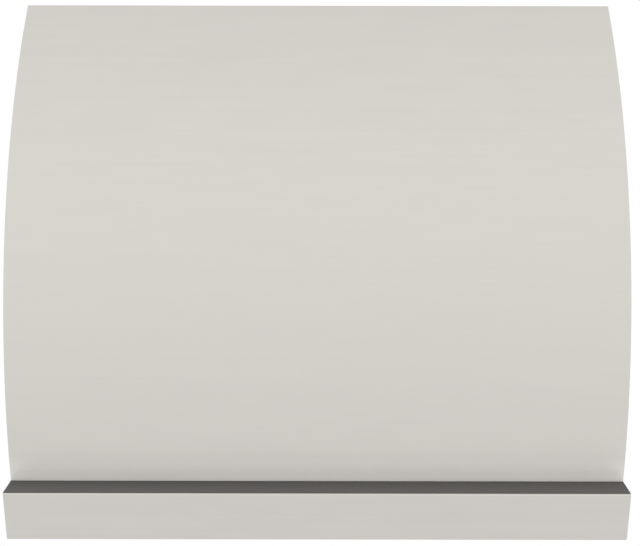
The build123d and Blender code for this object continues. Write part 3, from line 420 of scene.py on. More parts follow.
def pick(piece, kind, wanted):
    """Selects the vertices, edges or faces whose middle passes a test, and nothing else."""
    bpy.ops.mesh.select_mode(type={"verts": "VERT", "edges": "EDGE", "faces": "FACE"}[kind])
    bpy.ops.mesh.select_all(action="DESELECT")
    mesh = bmesh.from_edit_mesh(piece.data)
    for element in getattr(mesh, kind):
        if kind == "verts":
            middle = element.co
        else:
            middle = sum((v.co for v in element.verts), Vector()) / len(element.verts)
        if wanted(element, middle):
            element.select_set(True)
    mesh.select_flush_mode()
    bmesh.update_edit_mesh(piece.data)


def applied(piece, kind, **settings):
    """Adds a modifier to a piece and applies it."""
    taken(piece)
    made = piece.modifiers.new(kind.lower(), kind)
    for key, value in settings.items():
        setattr(made, key, value)
    bpy.ops.object.modifier_apply(modifier=made.name)


def settled(piece):
    """Puts a piece's place, turn and size into its mesh."""
    taken(piece)
    bpy.ops.object.transform_apply(location=True, rotation=True, scale=True)
    return piece


def cleaned(piece):
    """Merges what lies on one point and turns every face outward."""
    with in_edit(piece):
        bpy.ops.mesh.select_all(action="SELECT")
        bpy.ops.mesh.remove_doubles(threshold=NEAR)
        bpy.ops.mesh.normals_make_consistent(inside=False)


def softened(piece, width, segments=2, angle=32.0):
    """Rounds a piece's hard edges and shades it, its flat faces kept flat."""
    if width:
        applied(
            piece,
            "BEVEL",
            width=width,
            segments=segments,
            limit_method="ANGLE",
            angle_limit=math.radians(angle),
            miter_outer="MITER_ARC",
        )
    taken(piece)
    bpy.ops.object.shade_smooth_by_angle(angle=math.radians(angle))
    applied(piece, "WEIGHTED_NORMAL", keep_sharp=True)
    return piece


def named(piece, name, material, node):
    """Names a finished piece, gives it its finish, and lets it ride on the body of a node."""
    piece.name = name
    piece.data.name = name
    piece.data.materials.clear()
    piece.data.materials.append(material)
    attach(piece, body_of[node])


def placed(piece, name, material, node):
    """Names and finishes a piece that stands for a node."""
    named(piece, name, material, node)
    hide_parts(node)
    dressed.add(node)


def joined(*pieces):
    """Several pieces as one mesh."""
    nothing_selected()
    for piece in pieces:
        piece.select_set(True)
    bpy.context.view_layer.objects.active = pieces[0]
    bpy.ops.object.join()
    return pieces[0]


def copied(piece, move=(0.0, 0.0, 0.0), turn=(0.0, 0.0, 0.0)):
    """A copy with its own mesh, turned about the origin and then moved."""
    taken(piece)
    bpy.ops.object.duplicate(linked=False)
    twin = bpy.context.object
    twin.rotation_euler = turn
    twin.location = move
    return settled(twin)


def block(low, high):
    """A cube primitive between two corners."""
    nothing_selected()
    low, high = Vector(low), Vector(high)
    bpy.ops.mesh.primitive_cube_add(size=1.0, location=(low + high) / 2)
    piece = bpy.context.object
    piece.scale = high - low
    return settled(piece)


def spun(centre, angle, steps):
    """Spins what is selected about an axis along X, through a (y, z) centre, from +Z towards the front."""
    bpy.ops.mesh.spin(steps=steps, angle=-angle, center=(0.0, *centre), axis=(1.0, 0.0, 0.0))


def drawn_out(step):
    """Extrudes what is selected by a (y, z) step."""
    bpy.ops.mesh.extrude_region_move(TRANSFORM_OT_translate={"value": (0.0, *step)})


def heading(angle):
    return Vector((math.cos(angle), math.sin(angle)))


def folded_sheet(half_width, start, way, first, folds, thickness):
    """A sheet folded along X. Its outer face starts at a (y, z) point and runs a first length, at an angle
    from +Y towards +Z. Each fold, (turn, radius, steps, run), then turns it and draws it on. A turn to the
    left is above 0, and the sheet's thickness lies on the left."""
    angle = math.radians(way)
    start = Vector(start)
    end = start + heading(angle) * first
    middle = (start + end) / 2
    nothing_selected()
    bpy.ops.mesh.primitive_plane_add(size=1.0, location=(0.0, *middle), rotation=(angle, 0.0, 0.0))
    sheet = bpy.context.object
    sheet.scale = (2 * half_width, first, 1.0)
    settled(sheet)
    with in_edit(sheet):
        pick(sheet, "edges", lambda e, m: (Vector((m.y, m.z)) - end).length < NEAR)
        for turn, radius, steps, run in folds:
            side = 1 if turn > 0 else -1
            turn = math.radians(turn)
            left = heading(angle + math.pi / 2)
            centre = end + left * radius * side
            spun(centre, turn, steps)
            angle += turn
            end = centre - heading(angle + math.pi / 2) * radius * side
            if run:
                drawn_out(heading(angle) * run)
                end = end + heading(angle) * run
        bpy.ops.mesh.select_all(action="SELECT")
        bpy.ops.mesh.remove_doubles(threshold=NEAR)
        bpy.ops.mesh.normals_make_consistent(inside=False)
        first_face = min(
            bmesh.from_edit_mesh(sheet.data).faces,
            key=lambda face: (face.calc_center_median().yz - middle).length,
        )
        if first_face.normal.yz.dot(heading(math.radians(way) + math.pi / 2)) > 0:
            bpy.ops.mesh.flip_normals()
    applied(sheet, "SOLIDIFY", thickness=thickness, offset=-1.0)
    return sheet


def chain(points):
    """Edges from point to point: a plane drawn together on the first point, then drawn out."""
    nothing_selected()
    bpy.ops.mesh.primitive_plane_add(size=1.0)
    piece = bpy.context.object
    with in_edit(piece):
        bpy.ops.mesh.select_mode(type="VERT")
        bpy.ops.mesh.select_all(action="SELECT")
        bpy.ops.mesh.merge(type="CENTER")
        bpy.ops.transform.translate(value=points[0])
        for before, after in zip(points, points[1:]):
            step = Vector(after) - Vector(before)
            bpy.ops.mesh.extrude_vertices_move(TRANSFORM_OT_translate={"value": step})
    return piece


def turned(profile, x=0.0, y=0.0, steps=64):
    """A profile of (radius, height) points spun once round an upright axis through (x, y)."""
    piece = chain([(x + radius, y, z) for radius, z in profile])
    with in_edit(piece):
        bpy.ops.mesh.select_all(action="SELECT")
        bpy.ops.mesh.spin(steps=steps, angle=2 * math.pi, center=(x, y, 0.0), axis=(0.0, 0.0, 1.0))
    cleaned(piece)
    return piece


def bench_copy(name):
    """A merged copy of a CAD node's mesh, its flat faces made whole."""
    piece = bpy.data.objects.new(name, nodes[name].data.copy())
    bpy.context.scene.collection.objects.link(piece)
    with in_edit(piece):
        bpy.ops.mesh.select_all(action="SELECT")
        bpy.ops.mesh.remove_doubles(threshold=NEAR)
        bpy.ops.mesh.dissolve_limited(angle_limit=math.radians(0.5))
    return piece


def carved(piece, cutter, operation="DIFFERENCE"):
    """Cuts one closed piece out of another, or keeps only what both hold."""
    applied(piece, "BOOLEAN", operation=operation, solver="EXACT", object=cutter)
    bpy.data.objects.remove(cutter)


def four_corners(low, high, inset):
    """The (x, z) places in the corners of a box seen from the front, so far in from its edges."""
    return [(x, z) for x in (low.x + inset, high.x - inset) for z in (low.z + inset, high.z - inset)]


# Canopy: the curved front, the ledge and the band

SHEET_EDGE = 0.25 * MM
SPARE = 1.0 * MM

skin_low, skin_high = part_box("front_skin")
trim_low, trim_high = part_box("ledge_trim")
band_low, band_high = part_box("front_band")
half_width = skin_high.x
skin_sheet = 1.2 * MM
band_sheet = 1.5 * MM
head_y = -304.8 * MM
foot = Vector((skin_low.y, trim_high.z))
rise = skin_high.z - foot.y
run = head_y - foot.x
bow = (rise**2 + run**2) / (2 * run)
bow_centre = foot + Vector((bow, 0.0))


def crease(piece, x, width, depth):
    """A fine groove along the front's outer face, at one distance from the middle."""
    outer = bow - skin_sheet / 2

    def on_the_bow(vertex, middle):
        reach = (Vector((middle.y, middle.z)) - bow_centre).length
        return abs(middle.x - x) < width / 4 and reach > outer and middle.z > foot.y

    with in_edit(piece):
        for place in (x - width, x, x + width):
            bpy.ops.mesh.select_all(action="SELECT")
            bpy.ops.mesh.bisect(plane_co=(place, 0.0, 0.0), plane_no=(1.0, 0.0, 0.0))
        pick(piece, "verts", on_the_bow)
        bpy.ops.transform.shrink_fatten(value=-depth)


def curved_front():
    """The tall front: folded over at the top, bowed once down its height and folded in at its foot."""
    fold = 2.4 * MM
    foot_fold = 0.9 * MM
    foot_flange = 17.0 * MM
    crease_inset = 6.0 * MM
    fold_z = skin_high.z - fold
    fold_y = bow_centre.x - math.sqrt((bow - fold) ** 2 - (fold_z - bow_centre.y) ** 2)
    lift = math.degrees(math.asin((fold_z - bow_centre.y) / (bow - fold)))
    folds = [
        (90.0 - lift, fold, 6, 0.0),
        (lift, bow, 72, foot.y - skin_low.z - foot_fold),
        (90.0, foot_fold, 4, foot_flange),
    ]
    top_run = skin_high.y - fold_y
    front = folded_sheet(half_width, (skin_high.y, skin_high.z), 180.0, top_run, folds, skin_sheet)
    for side in (-1, 1):
        crease(front, side * (half_width - crease_inset), 0.25 * MM, 0.12 * MM)
    softened(front, SHEET_EDGE)
    placed(front, "curved_front", shell_steel, "front_skin")


def foot_corners(sheet, bottom, radius):
    """Rounds a sheet off at both lower corners, as seen from the front."""
    outline = block((-half_width, band_low.y - SPARE, bottom), (half_width, SPARE, skin_high.z + SPARE))
    with in_edit(outline):
        pick(outline, "edges", lambda e, m: abs(m.x) > half_width - SPARE and m.z < bottom + SPARE)
        bpy.ops.mesh.bevel(offset=radius, segments=6)
    carved(sheet, outline, "INTERSECT")


def front_channel():
    """The band: a channel whose upper flange is the ledge's shelf, notched round the side panels."""
    fold = 2.2 * MM
    lower_flange = 20.0 * MM
    notch_width = 16.0 * MM
    face = band_high.z - band_low.z - 2 * fold
    shelf_run = band_high.y - band_low.y - fold
    folds = [(90.0, fold, 8, face), (90.0, fold, 8, lower_flange - fold)]
    band = folded_sheet(half_width, (band_high.y, band_high.z), 180.0, shelf_run, folds, band_sheet)
    notch_y = skin_low.y + skin_sheet
    for side in (-1, 1):
        ends = sorted((side * (half_width - notch_width), side * (half_width + SPARE)))
        low = (ends[0], notch_y, band_high.z - 3 * band_sheet)
        high = (ends[1], band_high.y + SPARE, band_high.z + band_sheet)
        carved(band, block(low, high))
    foot_corners(band, band_low.z, 3.0 * MM)
    softened(band, SHEET_EDGE)
    placed(band, "front_channel", band_steel, "front_band")


def dark_ledge():
    """The strip on the shelf, rounded at its front edge, with a fine groove along its rear. Its dark colour is
    painted shade.
    """
    strip = block(trim_low, trim_high)
    groove = trim_high.y - 1.6 * MM
    groove_half = 0.3 * MM
    touch = 0.1 * MM
    with in_edit(strip):
        for y in (groove - groove_half, groove, groove + groove_half):
            bpy.ops.mesh.select_all(action="SELECT")
            bpy.ops.mesh.bisect(plane_co=(0.0, y, 0.0), plane_no=(0.0, 1.0, 0.0))
        pick(strip, "verts", lambda v, m: abs(m.y - groove) < touch and m.z > trim_high.z - touch)
        bpy.ops.transform.translate(value=(0.0, 0.0, -0.25 * MM))
        pick(strip, "edges", lambda e, m: m.y < trim_low.y + touch and m.z > trim_high.z - touch)
        bpy.ops.mesh.bevel(offset=0.8 * MM, segments=4)
    softened(strip, 0.15 * MM, angle=50.0)
    placed(strip, "dark_ledge", dark_trim, "ledge_trim")


curved_front()
front_channel()
dark_ledge()


# Canopy: the sheets behind the front, with their edges softened


def softened_sheets():
    """Folded and flat sheets whose CAD shape is right, their cut edges broken and their bends smooth."""
    sheets = {
        side_steel: ("side_panel_left", "side_panel_right"),
        lining_steel: (
            "top_panel",
            "back_panel",
            "filter_liner_left",
            "filter_liner_right",
            "front_filter_rail",
            "rear_gutter",
        ),
        strip_steel: ("control_strip",),
        dull_steel: ("back_rail_upper", "back_rail_lower", "motor_bracket"),
        galvanised: ("outlet_box", "scroll_left", "scroll_right", "wiring_box", "wiring_box_cover"),
        spring: ("cup_clips",),
    }
    for material, names in sheets.items():
        for name in names:
            sheet = bench_copy(name)
            if material == side_steel:
                cleaned(sheet)
                foot_corners(sheet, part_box(name)[0].z, 2.4 * MM)
            softened(sheet, 0.2 * MM, segments=1)
            placed(sheet, name + "_sheet", material, name)


softened_sheets()


# Filters: mitred frames, baffles and bent handles

filter_slope = math.radians(6.0)
hinge_of = {joint["name"]: Vector(joint["pos_m"]) for joint in frame["joints"] if "pos_m" in joint}
frame_half = 145.0 * MM
frame_front = -384.0 * MM
frame_rear = 12.0 * MM
frame_deep = 19.0 * MM
frame_flange = 14.0 * MM
frame_sheet = 0.8 * MM


def on_mitre(edge, place):
    """A flat edge that runs across a corner at 45 degrees."""
    way = edge.verts[0].co - edge.verts[1].co
    return abs(abs(way.x) - abs(way.y)) < NEAR and abs(way.z) < NEAR


def on_mitre_middle(edge, place):
    """The middle line of a bevelled mitre, with a narrow face on each side."""
    if not on_mitre(edge, place) or len(edge.link_faces) < 2:
        return False
    long = (edge.verts[0].co - edge.verts[1].co).length
    return all(face.calc_area() < long * 0.5 * MM for face in edge.link_faces)


def mitred_frame():
    """A filter's channel frame, flat on its underside: two mitred flanges round one outer wall."""
    nothing_selected()
    middle = (frame_front + frame_rear) / 2
    long = frame_rear - frame_front
    bpy.ops.mesh.primitive_plane_add(size=1.0, location=(0.0, middle, 0.0))
    ring = bpy.context.object
    ring.scale = (2 * frame_half, long, 1.0)
    settled(ring)

    def on_rim(edge, place):
        side = abs(abs(place.x) - frame_half)
        end = min(abs(place.y - frame_front), abs(place.y - frame_rear))
        return len(edge.link_faces) == 1 and min(side, end) < NEAR

    with in_edit(ring):
        bpy.ops.mesh.select_all(action="SELECT")
        bpy.ops.mesh.inset(thickness=frame_flange)
        bpy.ops.mesh.delete(type="FACE")
        pick(ring, "edges", on_rim)
        bpy.ops.mesh.extrude_region_move(TRANSFORM_OT_translate={"value": (0.0, 0.0, frame_deep)})
        bpy.ops.mesh.extrude_region_move()
        inner = (1.0 - frame_flange / frame_half, 1.0 - 2 * frame_flange / long, 1.0)
        bpy.ops.transform.resize(value=inner, center_override=(0.0, middle, frame_deep))
        bpy.ops.mesh.select_all(action="SELECT")
        bpy.ops.mesh.normals_make_consistent(inside=False)
        lowest = min(bmesh.from_edit_mesh(ring.data).faces, key=lambda face: face.calc_center_median().z)
        if lowest.normal.z > 0:
            bpy.ops.mesh.flip_normals()
        pick(ring, "edges", on_mitre)
        bpy.ops.mesh.bevel(offset=0.25 * MM, segments=2)
        pick(ring, "edges", on_mitre_middle)
        bpy.ops.transform.shrink_fatten(value=-0.2 * MM)
    applied(ring, "SOLIDIFY", thickness=frame_sheet, offset=-1.0)
    return ring


def frame_hooks():
    """The two tongues below the rear edge that hang behind the gutter's lip."""
    spread = 95.0 * MM
    half = 12.0 * MM
    long = 7.0 * MM
    tongues = []
    for x in (-spread, spread):
        tongue = block((x - half, 3.0 * MM, -long), (x + half, 4.5 * MM, 0.0))
        with in_edit(tongue):
            pick(tongue, "edges", lambda e, m: m.z < 0.1 * MM - long and abs(m.x - x) > half - SPARE)
            bpy.ops.mesh.bevel(offset=3.0 * MM, segments=4)
        tongues.append(tongue)
    return tongues


def bent_handle():
    """A round rod with two bends and a welded collar at each foot."""
    radius = 3.0 * MM
    reach = 38.0 * MM
    drop = 22.0 * MM
    fold = 8.0 * MM
    y = frame_front + 7.0 * MM
    nothing_selected()
    bpy.ops.mesh.primitive_circle_add(vertices=24, radius=radius, location=(-reach, y, 0.0), fill_type="NGON")
    rod = bpy.context.object
    settled(rod)
    with in_edit(rod):
        bpy.ops.mesh.select_all(action="SELECT")
        bpy.ops.mesh.extrude_region_move(TRANSFORM_OT_translate={"value": (0.0, 0.0, fold - drop)})
        bend = {"steps": 10, "angle": math.pi / 2, "axis": (0.0, 1.0, 0.0)}
        bpy.ops.mesh.spin(center=(fold - reach, y, fold - drop), **bend)
        bpy.ops.mesh.extrude_region_move(TRANSFORM_OT_translate={"value": (2 * (reach - fold), 0.0, 0.0)})
        bpy.ops.mesh.spin(center=(reach - fold, y, fold - drop), **bend)
        bpy.ops.mesh.extrude_region_move(TRANSFORM_OT_translate={"value": (0.0, 0.0, drop - fold)})
    cleaned(rod)
    softened(rod, 0.0, angle=50.0)
    collar_profile = [
        (0.0, 0.0),
        (5.6 * MM, 0.0),
        (5.4 * MM, -0.5 * MM),
        (3.6 * MM, -1.6 * MM),
        (0.0, -1.6 * MM),
    ]
    collars = []
    for x in (-reach, reach):
        collar = turned(collar_profile, x, y, steps=24)
        softened(collar, 0.2 * MM)
        collars.append(collar)
    return joined(rod, *collars)


def hang_filters():
    """Sets each filter's pieces on the slope at its hinge."""
    ring = joined(mitred_frame(), *frame_hooks())
    softened(ring, 0.25 * MM)
    handle = bent_handle()
    turn = (-filter_slope, 0.0, 0.0)
    for side in ("left", "centre", "right"):
        hinge = hinge_of[f"filter_{side}_swing"]
        placed(copied(ring, hinge, turn), f"filter_ring_{side}", filter_steel, f"filter_frame_{side}")
        placed(copied(handle, hinge, turn), f"filter_pull_{side}", polished, f"filter_handle_{side}")
        channels = bench_copy(f"filter_baffles_{side}")
        softened(channels, 0.12 * MM, segments=1)
        placed(channels, f"filter_channels_{side}", filter_steel, f"filter_baffles_{side}")
    bpy.data.objects.remove(ring)
    bpy.data.objects.remove(handle)


hang_filters()


# Grease cup, with a rolled rim


def deep_drawn_cup():
    low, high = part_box("grease_cup")
    wall = 1.0 * MM
    cup = block(low, high)
    with in_edit(cup):
        pick(cup, "edges", lambda e, m: abs(e.verts[0].co.z - e.verts[1].co.z) > SPARE)
        bpy.ops.mesh.bevel(offset=8.0 * MM, segments=8)
        pick(cup, "faces", lambda f, m: f.normal.z < -0.9)
        bpy.ops.mesh.region_to_loop()
        bpy.ops.mesh.bevel(offset=3.0 * MM, segments=6)
        pick(cup, "faces", lambda f, m: f.normal.z > 0.9)
        bpy.ops.mesh.inset(thickness=wall)
        bpy.ops.mesh.extrude_region_move(TRANSFORM_OT_translate={"value": (0.0, 0.0, low.z - high.z + wall)})
        bpy.ops.mesh.region_to_loop()
        bpy.ops.mesh.bevel(offset=2.0 * MM, segments=5)
    softened(cup, 0.3 * MM, segments=3)
    placed(cup, "drawn_cup", lining_steel, "grease_cup")


deep_drawn_cup()


# Lamps: rolled bezels round slightly domed frosted lenses


def lamp_fronts():
    face = bezel_low.z
    top = bezel_high.z
    strip = face + 1.6 * MM
    ledge = strip - 0.6 * MM
    neck = 33.7 * MM
    bore = 31.3 * MM
    lip = 28.9 * MM
    ring = [
        (lip, ledge),
        (lip, face + 0.35 * MM),
        (lip + 1.0 * MM, face),
        (lamp_radius - 3.0 * MM, face),
        (lamp_radius - 0.6 * MM, face + 0.5 * MM),
        (lamp_radius, face + 1.2 * MM),
        (lamp_radius, strip),
        (neck, strip),
        (neck, top),
        (bore, top),
        (bore, ledge),
        (lip, ledge),
    ]
    dome = 0.5 * MM
    edge = 31.0 * MM
    chamfer = 0.3 * MM
    glass_low, glass_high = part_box("lamp_lenses")
    arc = [(edge * step / 8, glass_low.z + dome * (step / 8) ** 2) for step in range(9)]
    pane = [*arc, (edge, glass_high.z - chamfer), (edge - chamfer, glass_high.z), (0.0, glass_high.z)]
    bezels = []
    lenses = []
    for x, y in lamp_centres:
        bezel = turned(ring, x, y, steps=96)
        softened(bezel, 0.12 * MM)
        bezels.append(bezel)
        lens = turned(pane, x, y, steps=72)
        softened(lens, 0.0)
        lenses.append(lens)
    placed(joined(*bezels), "lamp_rings", lamp_trim, "lamp_bezels")
    placed(joined(*lenses), "frosted_lenses", lamp_glass, "lamp_lenses")


lamp_fronts()


# Controls: fluted knobs with a skirt, a dished face and a pointer


def fluted_knob():
    """A knob about the origin, its top face at height 0 and its front face below."""
    radius = 16.0 * MM
    tall = 16.0 * MM
    skirt = 3.6 * MM
    flutes = 14
    flute_turn = 2 * math.pi / flutes
    nothing_selected()
    bpy.ops.mesh.primitive_cylinder_add(
        vertices=flutes * 6, radius=radius, depth=tall, location=(0.0, 0.0, -tall / 2)
    )
    knob = settled(bpy.context.object)

    def on_outer_rim(edge, place):
        return place.z < 0.1 * MM - tall and place.xy.length > radius - 0.5 * MM

    def in_flute(face, place):
        turn = math.atan2(place.y, place.x) / flute_turn
        near = abs(turn - round(turn)) < 0.3
        upright = abs(face.normal.z) < 0.1 and place.xy.length > radius - SPARE
        return near and upright and place.z < -skirt

    with in_edit(knob):
        pick(knob, "faces", lambda f, m: f.normal.z < -0.9)
        bpy.ops.mesh.inset(thickness=1.1 * MM)
        bpy.ops.mesh.inset(thickness=1.0 * MM)
        bpy.ops.mesh.inset(thickness=8.0 * MM, depth=-0.7 * MM)
        pick(knob, "edges", on_outer_rim)
        bpy.ops.mesh.bevel(offset=0.9 * MM, segments=4)
        for height in (SPARE - skirt, -skirt):
            bpy.ops.mesh.select_all(action="SELECT")
            bpy.ops.mesh.bisect(plane_co=(0.0, 0.0, height), plane_no=(0.0, 0.0, 1.0))
        pick(knob, "faces", in_flute)
        bpy.ops.mesh.inset(thickness=0.35 * MM, depth=-0.9 * MM)
    softened(knob, 0.15 * MM, angle=40.0)
    return knob


def knob_pointer():
    """A raised bar on a knob's face, from near its middle towards the rear of its rim."""
    half = 1.0 * MM
    pointer = block((-half, -14.2 * MM, -16.6 * MM), (half, -2.0 * MM, -15.2 * MM))
    with in_edit(pointer):
        pick(pointer, "edges", lambda e, m: m.z < -16.5 * MM)
        bpy.ops.mesh.bevel(offset=0.5 * MM, segments=3)
    softened(pointer, 0.0)
    return pointer


def fit_knobs():
    knob = fluted_knob()
    pointer = knob_pointer()
    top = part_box("fan_knob")[1].z
    for name, (x, y) in zip(("fan", "light"), knob_centres):
        placed(copied(knob, (x, y, top)), f"{name}_grip", knob_metal, f"{name}_knob")
        named(copied(pointer, (x, y, top)), f"{name}_pointer", black_plastic, f"{name}_knob")
    bpy.data.objects.remove(knob)
    bpy.data.objects.remove(pointer)


fit_knobs()


# Fasteners: pan heads with a cross recess

GROMMET_RADIUS = 8.0 * MM


def pan_screw():
    """A screw about the origin with its head's seat at height 0 and its shank below."""
    head = 4.0 * MM
    tall = 1.2 * MM
    shank = 2.0 * MM
    long = 9.0 * MM
    slot_half = 0.4 * MM
    profile = [
        (0.0, tall),
        (2.4 * MM, tall - 0.05 * MM),
        (3.4 * MM, tall - 0.3 * MM),
        (head, 0.35 * MM),
        (head, 0.0),
        (shank, 0.0),
        (shank, 0.8 * MM - long),
        (shank - 0.7 * MM, -long),
        (0.0, -long),
    ]
    screw = turned(profile, steps=32)
    for turn in (0.0, math.pi / 2):
        slot = block((-shank, -slot_half, tall - 0.75 * MM), (shank, slot_half, tall + SPARE))
        slot.rotation_euler = (0.0, 0.0, turn)
        settled(slot)
        carved(screw, slot)
    softened(screw, 0.0)
    return screw


def drive_screws():
    """The screws in the top plate, each turned by hand to its own stop, and those that face the front."""
    screw = pan_screw()
    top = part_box("top_panel")[1].z
    rows = (-1, 0, 1)
    side_x = half_width - 7.0 * MM
    side_y = -150.0 * MM
    side_pitch = 85.0 * MM
    blower_x = 187.0 * MM
    blower_y = -152.0 * MM
    blower_pitch = 75.0 * MM
    shell = [(side * side_x, side_y + row * side_pitch) for side in (-1, 1) for row in rows]
    shell += [(side * blower_x, blower_y + row * blower_pitch) for side in (-1, 1) for row in rows]
    upright = []
    for index, (x, y) in enumerate(shell):
        upright.append(copied(screw, (x, y, top), (0.0, 0.0, math.radians(23.0 * index))))
    placed(joined(*upright), "top_screws", zinc, "shell_screws")
    cover_low, cover_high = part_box("wiring_box_cover")
    rubber_low, rubber_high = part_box("bracket_grommets")
    bracket_y = rubber_low.y - 2.5 * MM
    facing = [(x, cover_low.y, z) for x, z in four_corners(cover_low, cover_high, 5.0 * MM)]
    facing += [(x, bracket_y, z) for x, z in four_corners(rubber_low, rubber_high, GROMMET_RADIUS)]
    forward = []
    for index, place in enumerate(facing):
        forward.append(copied(screw, place, (math.pi / 2, math.radians(31.0 * index), 0.0)))
    placed(joined(*forward), "cover_and_bracket_screws", zinc, "inner_screws")
    bpy.data.objects.remove(screw)


drive_screws()


# Blower motor, its capacitor and its rubber mounts


def vented_motor():
    """A turned casing with a seam round its middle and vents pressed into both end bells."""
    outer = 60.0 * MM
    bore = 11.0 * MM
    end = 55.0 * MM
    wall = 2.5 * MM
    cap = 7.0 * MM
    half = [
        (bore, end),
        (17.0 * MM, end),
        (19.0 * MM, end - 2.0 * MM),
        (50.0 * MM, end - 3.0 * MM),
        (56.0 * MM, end - 5.0 * MM),
        (outer - 0.6 * MM, end - 10.0 * MM),
        (outer, end - 14.0 * MM),
        (outer, end - 24.0 * MM),
        (outer - 0.8 * MM, end - 24.8 * MM),
        (outer - 0.8 * MM, end - 26.2 * MM),
        (outer, end - 27.0 * MM),
    ]
    outside = [*half, *[(radius, -height) for radius, height in reversed(half)]]
    inside = [(bore, cap - end), (outer - wall, cap - end), (outer - wall, end - cap), (bore, end - cap)]
    casing = turned([*outside, *inside, half[0]], steps=96)

    def in_vent(face, place):
        turn = math.atan2(place.y, place.x) / math.radians(30.0)
        near = abs(turn - round(turn)) < 0.34
        reach = place.xy.length
        return near and 20.0 * MM < reach < 50.0 * MM and abs(place.z) > end - 4.0 * MM

    with in_edit(casing):
        pick(casing, "faces", in_vent)
        bpy.ops.mesh.inset(thickness=2.0 * MM)
        bpy.ops.mesh.inset(thickness=0.6 * MM, depth=-1.6 * MM)
    softened(casing, 0.3 * MM, angle=28.0)
    shaft_low, shaft_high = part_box("motor_shaft")
    axis = (shaft_low + shaft_high) / 2
    fitted = copied(casing, axis, (0.0, math.pi / 2, 0.0))
    bpy.data.objects.remove(casing)
    placed(fitted, "motor_casing", motor_paint, "motor_body")


def crimped_capacitor():
    """A drawn can with a crimped end, an insulating disc and two blade terminals."""
    low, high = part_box("motor_capacitor")
    radius = (high.x - low.x) / 2
    long = high.y - low.y
    can = long - 7.0 * MM
    disc = can - 2.0 * MM
    profile = [
        (0.0, 0.0),
        (radius - 1.5 * MM, 0.0),
        (radius, 1.5 * MM),
        (radius, can - 7.0 * MM),
        (radius - 1.2 * MM, can - 5.6 * MM),
        (radius - 1.2 * MM, can - 4.4 * MM),
        (radius, can - 3.0 * MM),
        (radius, can - 0.8 * MM),
        (radius - 1.0 * MM, can),
        (radius - 2.0 * MM, can - 0.8 * MM),
        (radius - 2.0 * MM, disc),
        (0.0, disc),
    ]
    body = turned(profile, steps=64)
    softened(body, 0.2 * MM)
    blade_sheet = 0.8 * MM
    blade_half = 3.1 * MM
    blades = []
    for x in (-6.0 * MM, 6.0 * MM):
        blade = block((x - blade_sheet / 2, -blade_half, disc), (x + blade_sheet / 2, blade_half, long))
        with in_edit(blade):
            pick(blade, "edges", lambda e, m: m.z > long - 0.1 * MM and abs(m.y) > blade_half - 0.1 * MM)
            bpy.ops.mesh.bevel(offset=1.2 * MM, segments=1)
        softened(blade, 0.0)
        blades.append(blade)
    whole = joined(body, *blades)
    foot = Vector(((low.x + high.x) / 2, high.y, (low.z + high.z) / 2))
    fitted = copied(whole, foot, (math.pi / 2, 0.0, 0.0))
    bpy.data.objects.remove(whole)
    placed(fitted, "run_capacitor", finishes[slot_of["motor_capacitor"]], "motor_capacitor")


def waisted_grommets():
    low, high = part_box("bracket_grommets")
    outer = GROMMET_RADIUS
    waist = outer - 1.6 * MM
    bore = 2.2 * MM
    chamfer = 0.6 * MM
    tall = high.y - low.y
    profile = [
        (bore, 0.0),
        (outer - chamfer, 0.0),
        (outer, chamfer),
        (outer, 1.5 * MM),
        (waist, 2.2 * MM),
        (waist, tall - 2.2 * MM),
        (outer, tall - 1.5 * MM),
        (outer, tall - chamfer),
        (outer - chamfer, tall),
        (bore, tall),
        (bore, 0.0),
    ]
    ring = turned(profile, steps=48)
    softened(ring, 0.25 * MM)
    rings = []
    for x, z in four_corners(low, high, outer):
        rings.append(copied(ring, (x, high.y, z), (math.pi / 2, 0.0, 0.0)))
    bpy.data.objects.remove(ring)
    placed(joined(*rings), "waisted_grommets", rubber, "bracket_grommets")


vented_motor()
crimped_capacitor()
waisted_grommets()


# Supply gland: a threaded neck and a lock nut under the wiring box's roof


def threaded_gland():
    low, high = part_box("supply_gland")
    x, y = (low.x + high.x) / 2, (low.y + high.y) / 2
    neck = 11.0 * MM
    bore = 6.0 * MM
    pitch = 1.5 * MM
    root = neck - 0.7 * MM
    nut_low = high.z - 6.3 * MM
    nut_high = high.z - 3.3 * MM
    profile = [(bore, low.z), (root, low.z)]
    for turn in range(int((nut_low - low.z) / pitch) - 1):
        start = low.z + 0.6 * MM + turn * pitch
        profile += [(root, start), (neck, start + 0.45 * pitch), (neck, start + 0.6 * pitch)]
    profile += [
        (root, nut_low - 0.3 * MM),
        (neck, nut_low),
        (neck, high.z - 0.8 * MM),
        (neck - 0.8 * MM, high.z),
        (bore + 1.6 * MM, high.z),
        (bore + 0.9 * MM, high.z - 0.9 * MM),
        (bore, high.z - 1.6 * MM),
        (bore, low.z),
    ]
    body = turned(profile, x, y, steps=48)
    softened(body, 0.0, angle=40.0)
    nothing_selected()
    bpy.ops.mesh.primitive_cylinder_add(
        vertices=6, radius=17.0 * MM, depth=nut_high - nut_low, location=(x, y, (nut_low + nut_high) / 2)
    )
    nut = settled(bpy.context.object)
    with in_edit(nut):
        pick(nut, "faces", lambda f, m: f.normal.z < -0.9)
        bpy.ops.mesh.inset(thickness=2.0 * MM)
    softened(nut, 0.6 * MM, segments=3)
    placed(joined(body, nut), "threaded_gland", black_plastic, "supply_gland")


threaded_gland()


# What is left keeps its CAD shape. Round faces are shaded round, and the cut edges of moulded pieces are
# broken a little.

MOULDED_EDGES = {
    "lamp_driver": 0.8 * MM,
    "lamp_modules": 0.3 * MM,
    "terminal_block": 0.5 * MM,
    "filter_magnets": 0.4 * MM,
}


def finish_the_rest():
    for name in sorted(set(nodes) - dressed):
        piece = bench_copy(name)
        softened(piece, MOULDED_EDGES.get(name, 0.0), angle=30.0)
        placed(piece, name + "_finished", finishes[slot_of[name]], name)


finish_the_rest()


# Floor and light. Metal and glass see the floor a little darker behind the hood than in front of it.

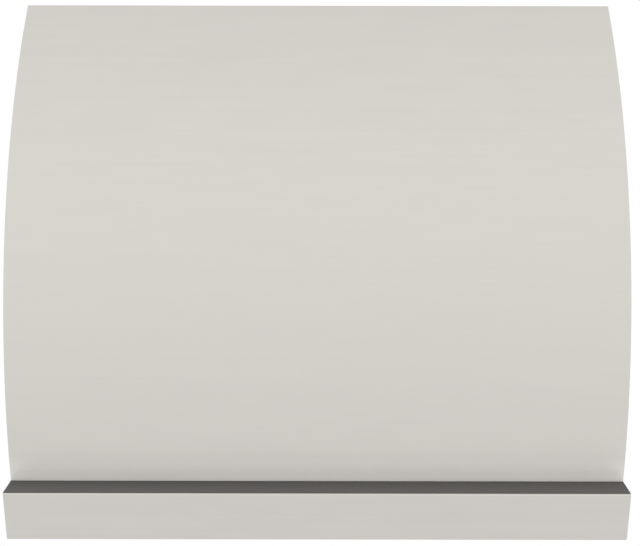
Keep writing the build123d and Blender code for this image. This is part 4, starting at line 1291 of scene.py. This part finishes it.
WHITE = (1.0, 1.0, 1.0)
FLOOR_LEVEL = -3.0
FLOOR_SIZE = 30.0
FLOOR_IN_METAL = 0.89
REAR_IN_METAL = 0.66
REAR_START = 0.5
REAR_END = 3.0
UP_LIGHT = [(0.0, 0.86), (0.42, 0.97), (0.5, 1.0), (0.74, 1.0), (1.0, 0.90)]
REAR_LIGHT = [(0.0, 1.0), (0.5, 1.0), (0.78, 0.62), (1.0, 0.72)]


def pale_floor():
    """A wide floor well below the hood, which the camera sees white."""
    nothing_selected()
    bpy.ops.mesh.primitive_plane_add(size=FLOOR_SIZE, location=(0.0, 0.0, FLOOR_LEVEL))
    floor = bpy.context.object
    floor.name = "floor"
    pale = Paint("pale floor", Metallic=0.0, Roughness=0.8, Base_Color=(0.86, 0.86, 0.855, 1.0))
    seen = pale.ray("Camera")
    mirrored = pale.ray("Glossy").most(pale.ray("Transmission"))
    behind = pale.axis("Y").ramp(REAR_START, REAR_END)
    in_metal = pale.blend(behind, (FLOOR_IN_METAL,) * 3, (REAR_IN_METAL,) * 3)
    glow = pale.node("ShaderNodeEmission", {}, {"Color": pale.blend(seen, in_metal, WHITE)})
    lit = Wire(pale, pale.tree.nodes["Principled BSDF"].outputs[0])
    surface = pale.node("ShaderNodeMixShader", {}, {0: seen.most(mirrored), 1: lit, 2: glow})
    pale.lead("Surface", surface, "Material Output")
    floor.data.materials.append(pale.material)


def studio_light():
    """Pale light from all round, a little weaker from right above, right below and behind."""
    world = bpy.data.worlds.new("studio")
    bpy.context.scene.world = world
    world.use_nodes = True
    sky = Nodes(world.node_tree)
    way = sky.node("ShaderNodeTexCoord", {}, {}, output="Generated")

    def spread(axis, greys):
        """A grey that follows one axis of the direction, from -1 to 1."""
        along = sky.node("ShaderNodeSeparateXYZ", {}, {0: way}, output=axis)
        return sky.node("ShaderNodeValToRGB", {"greys": greys}, {0: along * 0.5 + 0.5})

    light = sky.blend(1.0, spread("Z", UP_LIGHT), spread("Y", REAR_LIGHT), "MULTIPLY")
    sky.lead("Color", sky.blend(sky.ray("Camera"), light, WHITE), "Background")


pale_floor()
studio_light()
